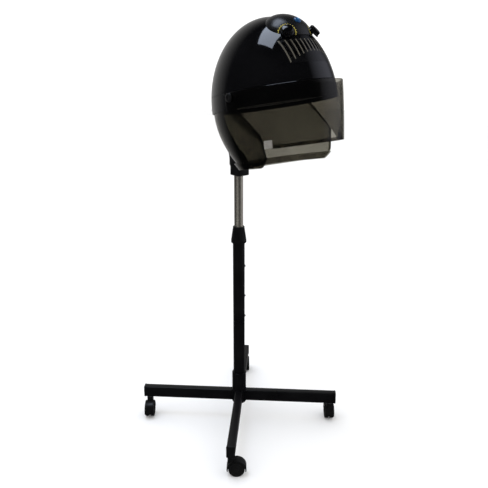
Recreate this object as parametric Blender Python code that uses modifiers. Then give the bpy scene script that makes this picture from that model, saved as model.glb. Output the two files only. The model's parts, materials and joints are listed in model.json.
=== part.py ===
"""Standing hood dryer: four-legged castor base, telescopic column and a tilting, swivelling hood."""
import math

import bmesh
import bpy
from mathutils import Matrix, Vector

# Frame, metres: +Z up, the hood faces -Y, the floor is z = 0
COLUMN_SETBACK = 0.0528  # the column stands this far behind the middle of the footprint
GAP = 0.0003  # clearance between pieces that touch
CRISP_ANGLE = math.radians(35)  # edges sharper than this stay crisp

# Base
LEG_REACH = 0.330
LEG_WIDTH = 0.025
LEG_HEIGHT = 0.038
LEG_BOTTOM = 0.069
LEG_COPE = 0.006  # it runs this far into the hub before its end is coped
LEG_WALL = 0.0015
LEG_CORNER = 0.004
LEG_BEARINGS = {"front": -135, "right": -45, "rear": 45, "left": 135}  # degrees from +X
CAP_LIP = 0.004
CAP_GROW = 0.0008  # the cap's lip stands proud of the tube by this
CAP_PLUG = 0.010
HUB_RADIUS = 0.0235
HUB_BOTTOM = 0.062
HUB_TOP = 0.174
HUB_FLOOR = 0.008  # thickness of the closed underside
HUB_CHAMFER = 0.0015
HUB_SCREW_RADIUS = 0.0045
HUB_SCREW_PROUD = 0.003

# Castors
CASTOR_INSET = 0.0185  # swivel axis in from the end of the leg
CASTOR_TRAIL = 0.016
CASTOR_HEADINGS = {"front": -41, "right": 49, "rear": 49, "left": -131}  # trailing side
WHEEL_RADIUS = 0.025
WHEEL_WIDTH = 0.012
WHEEL_ROUND = 0.0025
WHEEL_STEPS = 20  # a multiple of 4, so that a flat of the tread can lie on the floor
WHEEL_SIDE_GAP = 0.0005
WEB_WIDTH = 0.006
AXLE_RADIUS = 0.003
HOOD_CLEARANCE = 0.0018  # wheel to castor hood
HOOD_WALL = 0.003
STEM_RADIUS = 0.004
STEM_FLANGE_RADIUS = 0.011
STEM_FLANGE = 0.003
STEM_RISE = 0.016  # stem above the underside of the leg
STEM_SEAT = 0.013  # depth of the stem in the castor head
HEAD_RADIUS = 0.0105

# Column and mast
COLUMN_RADIUS = 0.019
COLUMN_WALL = 0.0015
COLUMN_TOP = 0.660
RIVET_HEIGHTS = (0.381, 0.452, 0.555)
RIVET_BEARING = -41  # degrees from +X
RIVET_RADIUS = 0.0045
RIVET_DOME = 0.0025
RIVET_SHANK = 0.002
POLE_RADIUS = 0.014
POLE_WALL = 0.0015
POLE_BOTTOM = 0.330
POLE_TOP = 0.880
GLIDE_HEAD = 0.012
GLIDE_PLUG = 0.018
BUSH_DEPTH = 0.040
BUSH_FLANGE = 0.003
COLLAR_SKIRT = 0.0245  # collar below the column's rim
COLLAR_HEAD = 0.028  # and above it
COLLAR_BOTTOM = COLUMN_TOP - COLLAR_SKIRT
COLLAR_TOP = COLUMN_TOP + COLLAR_HEAD
COLLAR_BASE_RADIUS = 0.0245
COLLAR_TOP_RADIUS = 0.0185
COLLAR_LIP = 0.007
COLLAR_ROOF = 0.006
COLLET_WALL = 0.0022
COLLET_SLOT = 0.002
COLLET_SLOT_HEIGHT = 0.020

# Hood, in its own frame: origin on the visor's pivot axis, front is -Y
HOOD_LIFT = 0.220  # pivot axis above the pole's top
HOOD_HEIGHT = POLE_TOP + HOOD_LIFT
HOOD_TILT = math.radians(11)  # front raised
DOME_HALF_WIDTH = 0.148
DOME_HALF_DEPTH = 0.203
DOME_RISE = 0.233  # half height of the whole ellipsoid
DOME_BACK = 0.009  # its middle behind the visor's pivot axis
DOME_DROP = 0.0256  # and below it
SHELL_WALL = 0.003
SEAM_HEIGHT = 0.015
BAND_BOTTOM = -0.030
DOME_STEPS = 32
DOME_ARCS = 16
BONNET_STEPS = 20
BONNET_ARCS = 10
BONNET_RADIUS = 0.150
BONNET_HALF_WIDTH = 0.118
BONNET_WALL = 0.002
BONNET_FLANGE_Z = -0.0185
BONNET_FLANGE = 0.0025
VENT_RINGS = {28: 6, 55: 8}  # holes at each angle from the crown, degrees
VENT_RADIUS = 0.007

# Smoked skirt and visor
SKIRT_TOP = -0.0205
SKIRT_BOTTOM = -0.192
SKIRT_FOOT_HALF_WIDTH = 0.120
SKIRT_FOOT_DEPTH = 0.098
SKIRT_WALL = 0.003
SKIRT_FRONT_LOW = 0.076
SKIRT_WIDTH_CURVE = 1.8  # higher keeps the width longer on the way down
SKIRT_DEPTH_CURVE = 2.1
SKIRT_EDGE_START = 0.003  # front edge ahead of the pivot axis at the band
SKIRT_EDGE_SLOPE = 0.91  # forward for each step down
SKIRT_CORNER_HEIGHT = 0.028
SKIRT_CORNER_BACK = 0.026
VISOR_TOP = 0.012
VISOR_BOTTOM = -0.145
VISOR_WALL = 0.0025
VISOR_ARCS = 22  # facets round its plan
VISOR_CURVE = 1.4
VISOR_STANDOFF = 0.0175  # ahead of the dome
VISOR_SIDE_STANDOFF = 0.0135  # and beside it
VISOR_TUCK = 0.017  # its foot is this much further in at the front
VISOR_SIDE_TUCK = 0.0045  # and at the sides
VISOR_TOP_REACH = DOME_HALF_DEPTH - DOME_BACK + VISOR_STANDOFF
VISOR_FOOT_REACH = VISOR_TOP_REACH - VISOR_TUCK
VISOR_TOP_HALF_WIDTH = DOME_HALF_WIDTH + VISOR_SIDE_STANDOFF
VISOR_FOOT_HALF_WIDTH = VISOR_TOP_HALF_WIDTH - VISOR_SIDE_TUCK
VISOR_EAR_BACK = -0.020
VISOR_EAR_BOTTOM = -0.034
VISOR_CORNER = 0.1045
PIVOT_RADIUS = 0.005
PIVOT_HEAD_RADIUS = 0.012
PIVOT_HEAD = 0.005
KNOB_EDGE = 0.15  # bevel of a knob or pivot head, as a share of its height
TAB_HEIGHT = 0.021
TAB_WIDTH = 0.022
TAB_WALL = 0.003

# Control pod and grille
POD_LEAN = math.radians(11.5)  # it faces this far above the dome's own outward direction
POD_BURIED = 0.0503  # its middle behind the front of the dome
POD_UP = 0.146
POD_HALF_WIDTH = 0.068
POD_HALF_LENGTH = 0.070
POD_HALF_HEIGHT = 0.048
POD_EDGE = 0.001  # thickness at its rim
POD_STEPS = 24
POD_ROWS = 6
KNOB_RADIUS = 0.0175
KNOB_HEIGHT = 0.016
KNOB_SPREAD = 0.045
KNOB_AHEAD = 0.040  # ahead of the pod's middle, along its face
KNOB_LIFT = 0.004  # seat above the dome
KNOB_SEAT_RADIUS = 0.0205
KNOB_SHAFT = 0.003
KNOB_SHAFT_LENGTH = 0.014
UNIT_RADIUS = 0.0095
UNIT_LENGTH = 0.009
UNIT_DROP = 0.0038  # unit below the inside of the curved, faceted dome
LENS_RADIUS = 0.0105
LENS_RISE = 0.0055
LENS_ROOT = 0.004
LENS_BACK = -0.018
GRILLE_LOW = 0.060
GRILLE_HIGH = 0.122
GRILLE_HALF_WIDTH = 0.075
GRILLE_SLOTS = 12
GRILLE_SLOT_WIDTH = 0.005
GRILLE_BORDER = 0.005
GRILLE_ARCH = 0.028  # the middle slots end this much higher than the outer ones

# Fan and heater
MOTOR_RADIUS = 0.027
MOTOR_TOP = 0.190
MOTOR_BOTTOM = 0.158
BRACKET_RADIUS = 0.032
BRACKET_PLATE = 0.003
BRACKET_BOSS = 0.008
SHAFT_RADIUS = 0.003
IMPELLER_RADIUS = 0.052
IMPELLER_DISC_Z = 0.139
IMPELLER_DISC = 0.0015
IMPELLER_HUB = 0.011
BLADE_COUNT = 12
BLADE_LENGTH = 0.022
BLADE_HEIGHT = 0.012
BLADE_WIDTH = 0.0016
BLADE_INSET = 0.002  # tip in from the rim of the disc
HEATER_RADIUS = 0.085
HEATER_Z = 0.112
HEATER_RING_WIDTH = 0.014
HEATER_RING = 0.002
HEATER_POST = 0.003
COIL_RADIUS = 0.0035
CUTOUT_SIZE = (0.014, 0.009, 0.006)

# Hood carrier
HINGE_STANDOFF = 0.038  # tilt axis behind the dome
HINGE_BACK = DOME_BACK + DOME_HALF_DEPTH + HINGE_STANDOFF  # and behind the pivot axis, in the hood's frame
HINGE_RISE = -0.0075
HINGE_BEHIND = 0.092  # tilt axis behind the column
KNUCKLE_RADIUS = 0.014
KNUCKLE_HALF_WIDTH = 0.012
EAR_WIDTH = 0.007
EAR_RADIUS = 0.013
LUG_HALF_HEIGHT = 0.019
LUG_DEPTH = 0.012
PIN_RADIUS = 0.004
PIN_HEAD_RADIUS = 0.007
PIN_HEAD = 0.004
PIN_GRIP = 0.010  # pin inside the tilt knob
TILT_KNOB_RADIUS = 0.016
TILT_KNOB_WIDTH = 0.014
SOCKET_GRIP = 0.027  # socket below the pole's top
SOCKET_BOTTOM = POLE_TOP - SOCKET_GRIP
SOCKET_WIDTH = 0.044
SOCKET_DEPTH = 0.045
SOCKET_FORWARD = 0.005  # its middle ahead of the pole
SOCKET_CORNER = 0.007
SOCKET_ROOF = 0.012  # solid above the pole's end
SOCKET_BUSH_WALL = 0.0015
ARM_WIDTH = 0.030
ARM_DEPTH = 0.024
ARM_END_WIDTH = 0.022  # a little narrower than the knuckle
ARM_BLEND = 0.35  # share of the arm over which its section changes
ARM_LEAVES = (0, 0.012, 0.030)  # how it sets off from the socket
ARM_ARRIVES = (0, 0.004, 0.060)  # how it comes up to the hinge


# Scene and materials

def clear_scene():
    for obj in list(bpy.data.objects):
        bpy.data.objects.remove(obj)


def new_collection(name):
    collection = bpy.data.collections.new(name)
    bpy.context.scene.collection.children.link(collection)
    return collection


def new_material(name, color, roughness, metallic=0.0, alpha=1.0):
    material = bpy.data.materials.new(name)
    material.use_nodes = True
    shader = material.node_tree.nodes["Principled BSDF"]
    shader.inputs["Base Color"].default_value = (*color, 1.0)
    shader.inputs["Roughness"].default_value = roughness
    shader.inputs["Metallic"].default_value = metallic
    shader.inputs["Alpha"].default_value = alpha
    return material


# Shape tools

def add_object(name, mesh, material, parent, cutter=False):
    obj = bpy.data.objects.new(name, mesh)
    (CUTTERS if cutter else PARTS).objects.link(obj)
    obj.parent = parent
    obj.hide_render = cutter
    obj.display_type = "WIRE" if cutter else "TEXTURED"
    if material:
        mesh.materials.append(material)
    return obj


def frame_empty(name, parent, location=(0, 0, 0), rotation=(0, 0, 0)):
    empty = bpy.data.objects.new(name, None)
    PARTS.objects.link(empty)
    empty.parent = parent
    empty.location = location
    empty.rotation_euler = rotation
    return empty


def smooth(mesh):
    """Closes seams, turns the faces outward and shades smooth between crisp edges."""
    work = bmesh.new()
    work.from_mesh(mesh)
    bmesh.ops.remove_doubles(work, verts=work.verts, dist=1e-6)
    bmesh.ops.recalc_face_normals(work, faces=work.faces)
    work.to_mesh(mesh)
    work.free()
    mesh.shade_smooth()
    mesh.set_sharp_from_angle(angle=CRISP_ANGLE)


def settle(obj):
    """Turns an object's modifiers, or a curve, into plain faces held by a mesh object."""
    bpy.context.view_layer.update()
    graph = bpy.context.evaluated_depsgraph_get()
    mesh = bpy.data.meshes.new_from_object(obj.evaluated_get(graph))
    smooth(mesh)
    name, parent, matrix = obj.name, obj.parent, obj.matrix_local.copy()
    cutter = obj.hide_render
    bpy.data.objects.remove(obj)
    mesh.name = name
    result = add_object(name, mesh, None, parent, cutter)
    result.matrix_local = matrix
    return result


def turned(name, profile, material, parent, steps=20, hollow=False, cutter=False):
    """Body of revolution about local Z; profile pairs (radius, height) run down the outer side."""
    points = [(radius, 0.0, height) for radius, height in profile]
    edges = [(i, i + 1) for i in range(len(points) - 1)]
    if hollow:
        edges.append((len(points) - 1, 0))
    mesh = bpy.data.meshes.new(name)
    mesh.from_pydata(points, edges, [])
    obj = add_object(name, mesh, material, parent, cutter)
    screw = obj.modifiers.new("turn", "SCREW")
    screw.axis = "Z"
    screw.angle = math.tau
    screw.steps = screw.render_steps = steps
    screw.use_merge_vertices = True
    screw.merge_threshold = 0.00001
    return settle(obj)


def tube_profile(outer, inner, top, bottom):
    return [(outer, top), (outer, bottom), (inner, bottom), (inner, top)]


def rod_profile(radius, top, bottom):
    return [(0, top), (radius, top), (radius, bottom), (0, bottom)]


def block(name, size, centre, material, parent, bevel=0.0, cutter=False):
    work = bmesh.new()
    bmesh.ops.create_cube(work, size=1.0, matrix=Matrix.Diagonal((*size, 1.0)))
    mesh = bpy.data.meshes.new(name)
    work.to_mesh(mesh)
    work.free()
    obj = add_object(name, mesh, material, parent, cutter)
    obj.location = centre
    if bevel:
        rounding = obj.modifiers.new("edges", "BEVEL")
        rounding.width = bevel
        rounding.segments = 2
        obj = settle(obj)
    return obj


def lofted(name, rings, material, parent, loop=False, cutter=False):
    """Closed body through matching rings of points, with flat ends or looping back to the first ring."""
    work = bmesh.new()
    loops = [[work.verts.new(point) for point in ring] for ring in rings]
    count = len(rings[0])
    following = loops[1:] + loops[:1] if loop else loops[1:]
    for lower, upper in zip(loops, following):
        for i in range(count):
            j = (i + 1) % count
            work.faces.new((lower[i], lower[j], upper[j], upper[i]))
    if not loop:
        work.faces.new(reversed(loops[0]))
        work.faces.new(loops[-1])
    mesh = bpy.data.meshes.new(name)
    work.to_mesh(mesh)
    work.free()
    smooth(mesh)
    return add_object(name, mesh, material, parent, cutter)


def sheet(name, rows, wall, material, parent):
    """Thin shell: an open grid of points thickened inward."""
    work = bmesh.new()
    grid = [[work.verts.new(point) for point in row] for row in rows]
    for upper, lower in zip(grid, grid[1:]):
        for i in range(len(upper) - 1):
            work.faces.new((upper[i], lower[i], lower[i + 1], upper[i + 1]))
    mesh = bpy.data.meshes.new(name)
    work.to_mesh(mesh)
    work.free()
    obj = add_object(name, mesh, material, parent)
    skin = obj.modifiers.new("wall", "SOLIDIFY")
    skin.thickness = wall
    skin.offset = -1
    skin.use_even_offset = True
    return settle(obj)


def rounded_rectangle(half_width, half_height, radius, steps=2):
    """Points of a rectangle with rounded corners, anticlockwise."""
    points = []
    for corner in range(4):
        start = corner * math.pi / 2
        sign_u = 1 if corner in (0, 3) else -1
        sign_v = 1 if corner in (0, 1) else -1
        for step in range(steps + 1):
            angle = start + step * math.pi / 2 / steps
            u = sign_u * (half_width - radius) + radius * math.cos(angle)
            v = sign_v * (half_height - radius) + radius * math.sin(angle)
            points.append((u, v))
    return points


def boolean(obj, other, operation="DIFFERENCE"):
    modifier = obj.modifiers.new(operation.lower(), "BOOLEAN")
    modifier.operation = operation
    modifier.solver = "EXACT"
    modifier.object = other


def place(obj, location=(0, 0, 0), rotation=(0, 0, 0)):
    obj.location = location
    obj.rotation_euler = rotation
    return obj


def between(low, high, count):
    return [low + (high - low) * i / count for i in range(count + 1)]


def merged(name, pieces, parent):
    """One cutter from several separate bodies."""
    bpy.context.view_layer.update()
    work = bmesh.new()
    for piece in pieces:
        start = len(work.verts)
        work.from_mesh(piece.data)
        work.verts.ensure_lookup_table()
        bmesh.ops.transform(work, matrix=piece.matrix_local, verts=work.verts[start:])
    mesh = bpy.data.meshes.new(name)
    work.to_mesh(mesh)
    work.free()
    smooth(mesh)
    for piece in pieces:
        bpy.data.objects.remove(piece)
    return add_object(name, mesh, None, parent, cutter=True)


def cylinder_cutter(name, radius, top, bottom, parent, steps=16):
    return turned(name, rod_profile(radius, top, bottom), None, parent, steps, cutter=True)


def outward(bearing):
    """Rotation that turns local Z to a level direction at this bearing."""
    return (0, math.pi / 2, bearing)


# Base

LEG_INNER_END = HUB_RADIUS - LEG_COPE
LEG_TUBE_END = LEG_REACH - CAP_LIP - GAP
LEG_MIDDLE = LEG_BOTTOM + LEG_HEIGHT / 2
CASTOR_REACH = LEG_REACH - CASTOR_INSET


def leg_ring(reach, inset, radius):
    section = rounded_rectangle(LEG_WIDTH / 2 - inset, LEG_HEIGHT / 2 - inset, radius)
    return [(reach, u, LEG_MIDDLE + v) for u, v in section]


def build_hub(root):
    bore = COLUMN_RADIUS + GAP
    floor = HUB_BOTTOM + HUB_FLOOR
    edge = HUB_RADIUS - HUB_CHAMFER
    profile = [
        (0, floor), (bore, floor), (bore, HUB_TOP), (edge, HUB_TOP), (HUB_RADIUS, HUB_TOP - HUB_CHAMFER),
        (HUB_RADIUS, HUB_BOTTOM + HUB_CHAMFER), (edge, HUB_BOTTOM), (0, HUB_BOTTOM),
    ]
    hub = turned("base_hub", profile, SATIN_BLACK, root)
    screw_height = (HUB_TOP + LEG_BOTTOM + LEG_HEIGHT) / 2
    where = Vector((0, HUB_RADIUS + GAP, screw_height))
    shank = HUB_SCREW_RADIUS / 2
    wall = HUB_RADIUS - bore
    head = [
        (0, HUB_SCREW_PROUD), (HUB_SCREW_RADIUS - HUB_CHAMFER, HUB_SCREW_PROUD), (HUB_SCREW_RADIUS, 0),
        (shank, 0), (shank, -wall), (0, -wall),
    ]
    screw = turned("hub_screw", head, STEEL, root, 16)
    place(screw, where, outward(math.pi / 2))
    hole = cylinder_cutter("cut_hub_screw", shank + GAP, HUB_RADIUS, -HUB_RADIUS / 2, root, 16)
    boolean(hub, place(hole, where, outward(math.pi / 2)))


def build_leg(root, name, bearing):
    frame = frame_empty(f"leg_{name}_frame", root, rotation=(0, 0, bearing))
    outer, inner = LEG_CORNER, LEG_CORNER - LEG_WALL
    rings = [
        leg_ring(LEG_INNER_END, 0, outer), leg_ring(LEG_TUBE_END, 0, outer),
        leg_ring(LEG_TUBE_END, LEG_WALL, inner), leg_ring(LEG_INNER_END, LEG_WALL, inner),
    ]
    leg = lofted(f"leg_{name}", rings, SATIN_BLACK, frame, loop=True)
    boolean(leg, cylinder_cutter(f"cut_cope_{name}", HUB_RADIUS + GAP, HUB_TOP, HUB_BOTTOM, frame, 24))
    hole = cylinder_cutter(f"cut_stem_{name}", STEM_RADIUS + GAP, LEG_MIDDLE, HUB_BOTTOM, frame, 12)
    boolean(leg, place(hole, (CASTOR_REACH, 0, 0)))
    plug = LEG_WALL + GAP
    rings = [
        leg_ring(LEG_TUBE_END - CAP_PLUG, plug, inner), leg_ring(LEG_TUBE_END + GAP, plug, inner),
        leg_ring(LEG_TUBE_END + GAP, -CAP_GROW, outer), leg_ring(LEG_REACH - CAP_LIP / 2, -CAP_GROW, outer),
        leg_ring(LEG_REACH, CAP_GROW, outer),
    ]
    lofted(f"leg_cap_{name}", rings, MATTE_BLACK, frame)


# Castors

WHEEL_CENTRE = WHEEL_RADIUS * math.cos(math.pi / WHEEL_STEPS)  # a flat of the tread rests on the floor
WHEEL_INNER = WEB_WIDTH / 2 + WHEEL_SIDE_GAP
WHEEL_OUTER = WHEEL_INNER + WHEEL_WIDTH
CASTOR_HOOD_RADIUS = WHEEL_RADIUS + HOOD_CLEARANCE + HOOD_WALL
CASTOR_HEAD_TOP = LEG_BOTTOM - STEM_FLANGE - 2 * GAP


def build_castor(root, name, bearing, heading):
    swivel = frame_empty(
        f"castor_{name}_swivel", root,
        (CASTOR_REACH * math.cos(bearing), CASTOR_REACH * math.sin(bearing), 0), (0, 0, heading),
    )
    axle = (CASTOR_TRAIL, 0, WHEEL_CENTRE)
    sideways = (math.pi / 2, 0, 0)
    flange_top = LEG_BOTTOM - GAP
    flange_bottom = flange_top - STEM_FLANGE
    stem = [
        (0, LEG_BOTTOM + STEM_RISE), (STEM_RADIUS, LEG_BOTTOM + STEM_RISE), (STEM_RADIUS, flange_top),
        (STEM_FLANGE_RADIUS, flange_top), (STEM_FLANGE_RADIUS, flange_bottom), (STEM_RADIUS, flange_bottom),
        (STEM_RADIUS, flange_bottom - STEM_SEAT), (0, flange_bottom - STEM_SEAT),
    ]
    turned(f"castor_{name}_stem", stem, STEEL, swivel, 12)

    drum = rod_profile(CASTOR_HOOD_RADIUS, WHEEL_OUTER, -WHEEL_OUTER)
    body = turned(f"castor_{name}_body", drum, MATTE_BLACK, swivel, 18)
    place(body, axle, sideways)
    head = cylinder_cutter(f"cut_head_{name}", HEAD_RADIUS, CASTOR_HEAD_TOP, WHEEL_CENTRE, swivel, 12)
    boolean(body, head, "UNION")
    reach = 3 * CASTOR_HOOD_RADIUS
    low_half = (reach, reach, WHEEL_CENTRE)
    where = (CASTOR_TRAIL, 0, 2 * AXLE_RADIUS)
    boolean(body, block(f"cut_below_{name}", low_half, where, None, swivel, cutter=True))
    for side in (1, -1):
        wheel_space = (WHEEL_RADIUS + HOOD_CLEARANCE, 2 * WHEEL_OUTER, WEB_WIDTH / 2)
        space = cylinder_cutter(f"cut_wheel_{name}_{side}", *wheel_space, swivel, 18)
        boolean(body, place(space, axle, (-side * math.pi / 2, 0, 0)))
    hole = cylinder_cutter(f"cut_axle_{name}", AXLE_RADIUS + GAP, WEB_WIDTH, -WEB_WIDTH, swivel, 12)
    boolean(body, place(hole, axle, sideways))
    bore_bottom = CASTOR_HEAD_TOP - STEM_SEAT - GAP
    boolean(body, cylinder_cutter(f"cut_bore_{name}", STEM_RADIUS + GAP, LEG_BOTTOM, bore_bottom, swivel, 12))

    half = [
        (0, WHEEL_OUTER), (WHEEL_RADIUS - WHEEL_ROUND, WHEEL_OUTER),
        (WHEEL_RADIUS, WHEEL_OUTER - WHEEL_ROUND), (WHEEL_RADIUS, WHEEL_INNER + WHEEL_ROUND),
        (WHEEL_RADIUS - WHEEL_ROUND, WHEEL_INNER), (AXLE_RADIUS, WHEEL_INNER),
    ]
    profile = half + [(radius, -height) for radius, height in reversed(half)]
    wheels = turned(f"castor_{name}_wheels", profile, RUBBER, swivel, WHEEL_STEPS)
    place(wheels, axle, (math.pi / 2, math.pi / WHEEL_STEPS, 0))


# Column and mast

COLUMN_BORE = COLUMN_RADIUS - COLUMN_WALL
POLE_CLEAR = POLE_RADIUS + GAP
BUSH_TOP = COLUMN_TOP + BUSH_FLANGE


def build_column(root):
    column_bottom = HUB_BOTTOM + HUB_FLOOR + GAP
    tube = tube_profile(COLUMN_RADIUS, COLUMN_BORE, COLUMN_TOP, column_bottom)
    column = turned("column_tube", tube, SATIN_BLACK, root, hollow=True)
    rivet_profile = [
        (0, RIVET_DOME), (RIVET_RADIUS * math.sqrt(0.5), RIVET_DOME * math.sqrt(0.5)), (RIVET_RADIUS, 0),
        (RIVET_SHANK, 0), (RIVET_SHANK, -COLUMN_WALL), (0, -COLUMN_WALL),
    ]
    bearing = math.radians(RIVET_BEARING)
    seat = COLUMN_RADIUS + GAP
    holes = []
    for number, height in enumerate(RIVET_HEIGHTS, 1):
        where = (seat * math.cos(bearing), seat * math.sin(bearing), height)
        rivet = turned(f"column_rivet_{number}", rivet_profile, SATIN_BLACK, root, 10)
        place(rivet, where, outward(bearing))
        hole = cylinder_cutter("cut_rivet", RIVET_SHANK + GAP, COLUMN_WALL, -COLUMN_RADIUS / 2, root, 10)
        holes.append(place(hole, where, outward(bearing)))
    boolean(column, merged("cut_rivets", holes, root))

    outer = COLUMN_BORE - GAP
    bush = [
        (POLE_CLEAR, BUSH_TOP), (COLUMN_RADIUS, BUSH_TOP), (COLUMN_RADIUS, COLUMN_TOP + GAP),
        (outer, COLUMN_TOP + GAP), (outer, COLUMN_TOP - BUSH_DEPTH), (POLE_CLEAR, COLUMN_TOP - BUSH_DEPTH),
    ]
    turned("column_bush", bush, MATTE_BLACK, root, hollow=True)


def build_lock(root):
    roof = COLLAR_TOP - COLLAR_ROOF
    collet_outer = POLE_CLEAR + COLLET_WALL
    collet_bottom, collet_top = BUSH_TOP + GAP, roof - GAP
    sleeve = tube_profile(collet_outer, POLE_CLEAR, collet_top, collet_bottom)
    collet = turned("lock_collet", sleeve, MATTE_BLACK, root, hollow=True)
    slot_middle = (0, 0, collet_bottom + COLLET_WALL + COLLET_SLOT_HEIGHT / 2)
    across = 4 * POLE_RADIUS
    for number, plan in enumerate(((COLLET_SLOT, across), (across, COLLET_SLOT))):
        size = (*plan, COLLET_SLOT_HEIGHT)
        boolean(collet, block(f"cut_collet_{number}", size, slot_middle, None, root, cutter=True))

    column_clear = COLUMN_RADIUS + GAP
    edge = COLLET_WALL / 2
    profile = [
        (POLE_CLEAR, COLLAR_TOP), (COLLAR_TOP_RADIUS - edge, COLLAR_TOP),
        (COLLAR_TOP_RADIUS, COLLAR_TOP - edge), (COLLAR_BASE_RADIUS, COLLAR_BOTTOM + COLLAR_LIP),
        (COLLAR_BASE_RADIUS, COLLAR_BOTTOM + edge),
        (COLLAR_BASE_RADIUS - edge, COLLAR_BOTTOM), (column_clear, COLLAR_BOTTOM),
        (column_clear, BUSH_TOP + GAP), (collet_outer + GAP, BUSH_TOP + GAP), (collet_outer + GAP, roof),
        (POLE_CLEAR, roof),
    ]
    turned("lock_collar", profile, MATTE_BLACK, root, hollow=True)


def build_mast(mast):
    bore = POLE_RADIUS - POLE_WALL
    turned("pole_tube", tube_profile(POLE_RADIUS, bore, POLE_TOP, POLE_BOTTOM), CHROME, mast, hollow=True)
    plug, head = bore - GAP, COLUMN_BORE - GAP
    shoulder = POLE_BOTTOM - GAP
    glide = [
        (0, POLE_BOTTOM + GLIDE_PLUG), (plug, POLE_BOTTOM + GLIDE_PLUG), (plug, shoulder), (head, shoulder),
        (head, shoulder - GLIDE_HEAD), (0, shoulder - GLIDE_HEAD),
    ]
    turned("pole_glide", glide, MATTE_BLACK, mast)


# Hood carrier

LUG_HALF_WIDTH = KNUCKLE_HALF_WIDTH + GAP + EAR_WIDTH
CROSSWISE = (0, math.pi / 2, 0)  # turns local Z to +X
# Tilt axis from the pivot axis, as the tilted hood carries it
HINGE_FROM_PIVOT = Matrix.Rotation(-HOOD_TILT, 3, "X") @ Vector((0, HINGE_BACK, HINGE_RISE))


def arm_path(hinge, count):
    """Centre line from the socket, sweeping back and up to the hinge: (point, direction) pairs."""
    start = Vector((0, 0, POLE_TOP + SOCKET_ROOF))
    leave = start + Vector(ARM_LEAVES)
    arrive = hinge - Vector(ARM_ARRIVES)
    steps = []
    for t in between(0, 1, count):
        s = 1 - t
        point = s**3 * start + 3 * s * s * t * leave + 3 * s * t * t * arrive + t**3 * hinge
        along = s * s * (leave - start) + 2 * s * t * (arrive - leave) + t * t * (hinge - arrive)
        steps.append((t, point, along.normalized()))
    return steps


def bracket_ring(point, along, width, depth, corner):
    across = Vector((1, 0, 0))
    out = along.cross(across)
    section = rounded_rectangle(width / 2, depth / 2, corner)
    return [point + across * u + out * v for u, v in section]


def build_bracket(carrier, hinge):
    up = Vector((0, 0, 1))
    socket = (SOCKET_WIDTH, SOCKET_DEPTH, SOCKET_CORNER)
    rings = [bracket_ring(Vector((0, -SOCKET_FORWARD, z)), up, *socket) for z in (SOCKET_BOTTOM, POLE_TOP)]
    for t, point, along in arm_path(hinge, 7):
        early, late = min(t / ARM_BLEND, 1), max(t / ARM_BLEND - 1, 0)
        width = SOCKET_WIDTH + (ARM_WIDTH - SOCKET_WIDTH) * early
        width += (ARM_END_WIDTH - ARM_WIDTH) * min(late, 1)
        depth = SOCKET_DEPTH + (ARM_DEPTH - SOCKET_DEPTH) * early
        rings.append(bracket_ring(point, along, width, depth, SOCKET_CORNER))
    bracket = lofted("hood_bracket", rings, MATTE_BLACK, carrier)
    bush_outer = POLE_CLEAR + SOCKET_BUSH_WALL
    bore_top, bore_bottom = POLE_TOP + 2 * GAP, SOCKET_BOTTOM - SOCKET_DEPTH
    boolean(bracket, cylinder_cutter("cut_socket", bush_outer + GAP, bore_top, bore_bottom, carrier, 24))
    width = KNUCKLE_HALF_WIDTH - GAP / 2
    knuckle = cylinder_cutter("cut_knuckle", KNUCKLE_RADIUS, width, -width, carrier)
    boolean(bracket, place(knuckle, hinge, CROSSWISE), "UNION")
    hole = cylinder_cutter("cut_pin", PIN_RADIUS + GAP, SOCKET_WIDTH, -SOCKET_WIDTH, carrier)
    boolean(bracket, place(hole, hinge, CROSSWISE))
    bush = tube_profile(bush_outer, POLE_CLEAR, POLE_TOP, SOCKET_BOTTOM)
    turned("socket_bush", bush, MATTE_BLACK, carrier, hollow=True)


def build_clevis(hood):
    """Forked lug on the back of the hood, in the hood's frame."""
    dome_rear = DOME_HALF_DEPTH + DOME_BACK
    near = dome_rear - 4 * SHELL_WALL
    outline = [(near, HINGE_RISE - LUG_HALF_HEIGHT)]
    for angle in between(-math.pi / 2, math.pi / 2, 10):
        outline.append((HINGE_BACK + EAR_RADIUS * math.cos(angle), HINGE_RISE + EAR_RADIUS * math.sin(angle)))
    outline.append((near, HINGE_RISE + LUG_HALF_HEIGHT))
    rings = [[(x, y, z) for y, z in outline] for x in (-LUG_HALF_WIDTH, LUG_HALF_WIDTH)]
    clevis = lofted("tilt_clevis", rings, MATTE_BLACK, hood)
    slot_front = dome_rear + LUG_DEPTH
    slot = (2 * (KNUCKLE_HALF_WIDTH + GAP / 2), HINGE_BACK - dome_rear + EAR_RADIUS, 4 * LUG_HALF_HEIGHT)
    where = (0, slot_front + slot[1] / 2, HINGE_RISE)
    boolean(clevis, block("cut_fork", slot, where, None, hood, cutter=True))
    boolean(clevis, DOME_CLEAR)
    axis = (0, HINGE_BACK, HINGE_RISE)
    hole = cylinder_cutter("cut_clevis_pin", PIN_RADIUS + GAP, SOCKET_WIDTH, -SOCKET_WIDTH, hood)
    boolean(clevis, place(hole, axis, CROSSWISE))

    side = LUG_HALF_WIDTH + GAP
    pin_end = side + PIN_GRIP
    pin = [
        (0, pin_end), (PIN_RADIUS, pin_end), (PIN_RADIUS, -side), (PIN_HEAD_RADIUS, -side),
        (PIN_HEAD_RADIUS, -side - PIN_HEAD), (0, -side - PIN_HEAD),
    ]
    place(turned("tilt_pin", pin, STEEL, hood, 16), axis, CROSSWISE)
    bore = PIN_RADIUS + GAP
    edge = KNOB_EDGE * TILT_KNOB_WIDTH
    knob = [
        (0, side + TILT_KNOB_WIDTH), (TILT_KNOB_RADIUS - edge, side + TILT_KNOB_WIDTH),
        (TILT_KNOB_RADIUS, side + TILT_KNOB_WIDTH - edge), (TILT_KNOB_RADIUS, side), (bore, side),
        (bore, pin_end + GAP), (0, pin_end + GAP),
    ]
    place(turned("tilt_knob", knob, MATTE_BLACK, hood), axis, CROSSWISE)


# Hood shells

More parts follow.
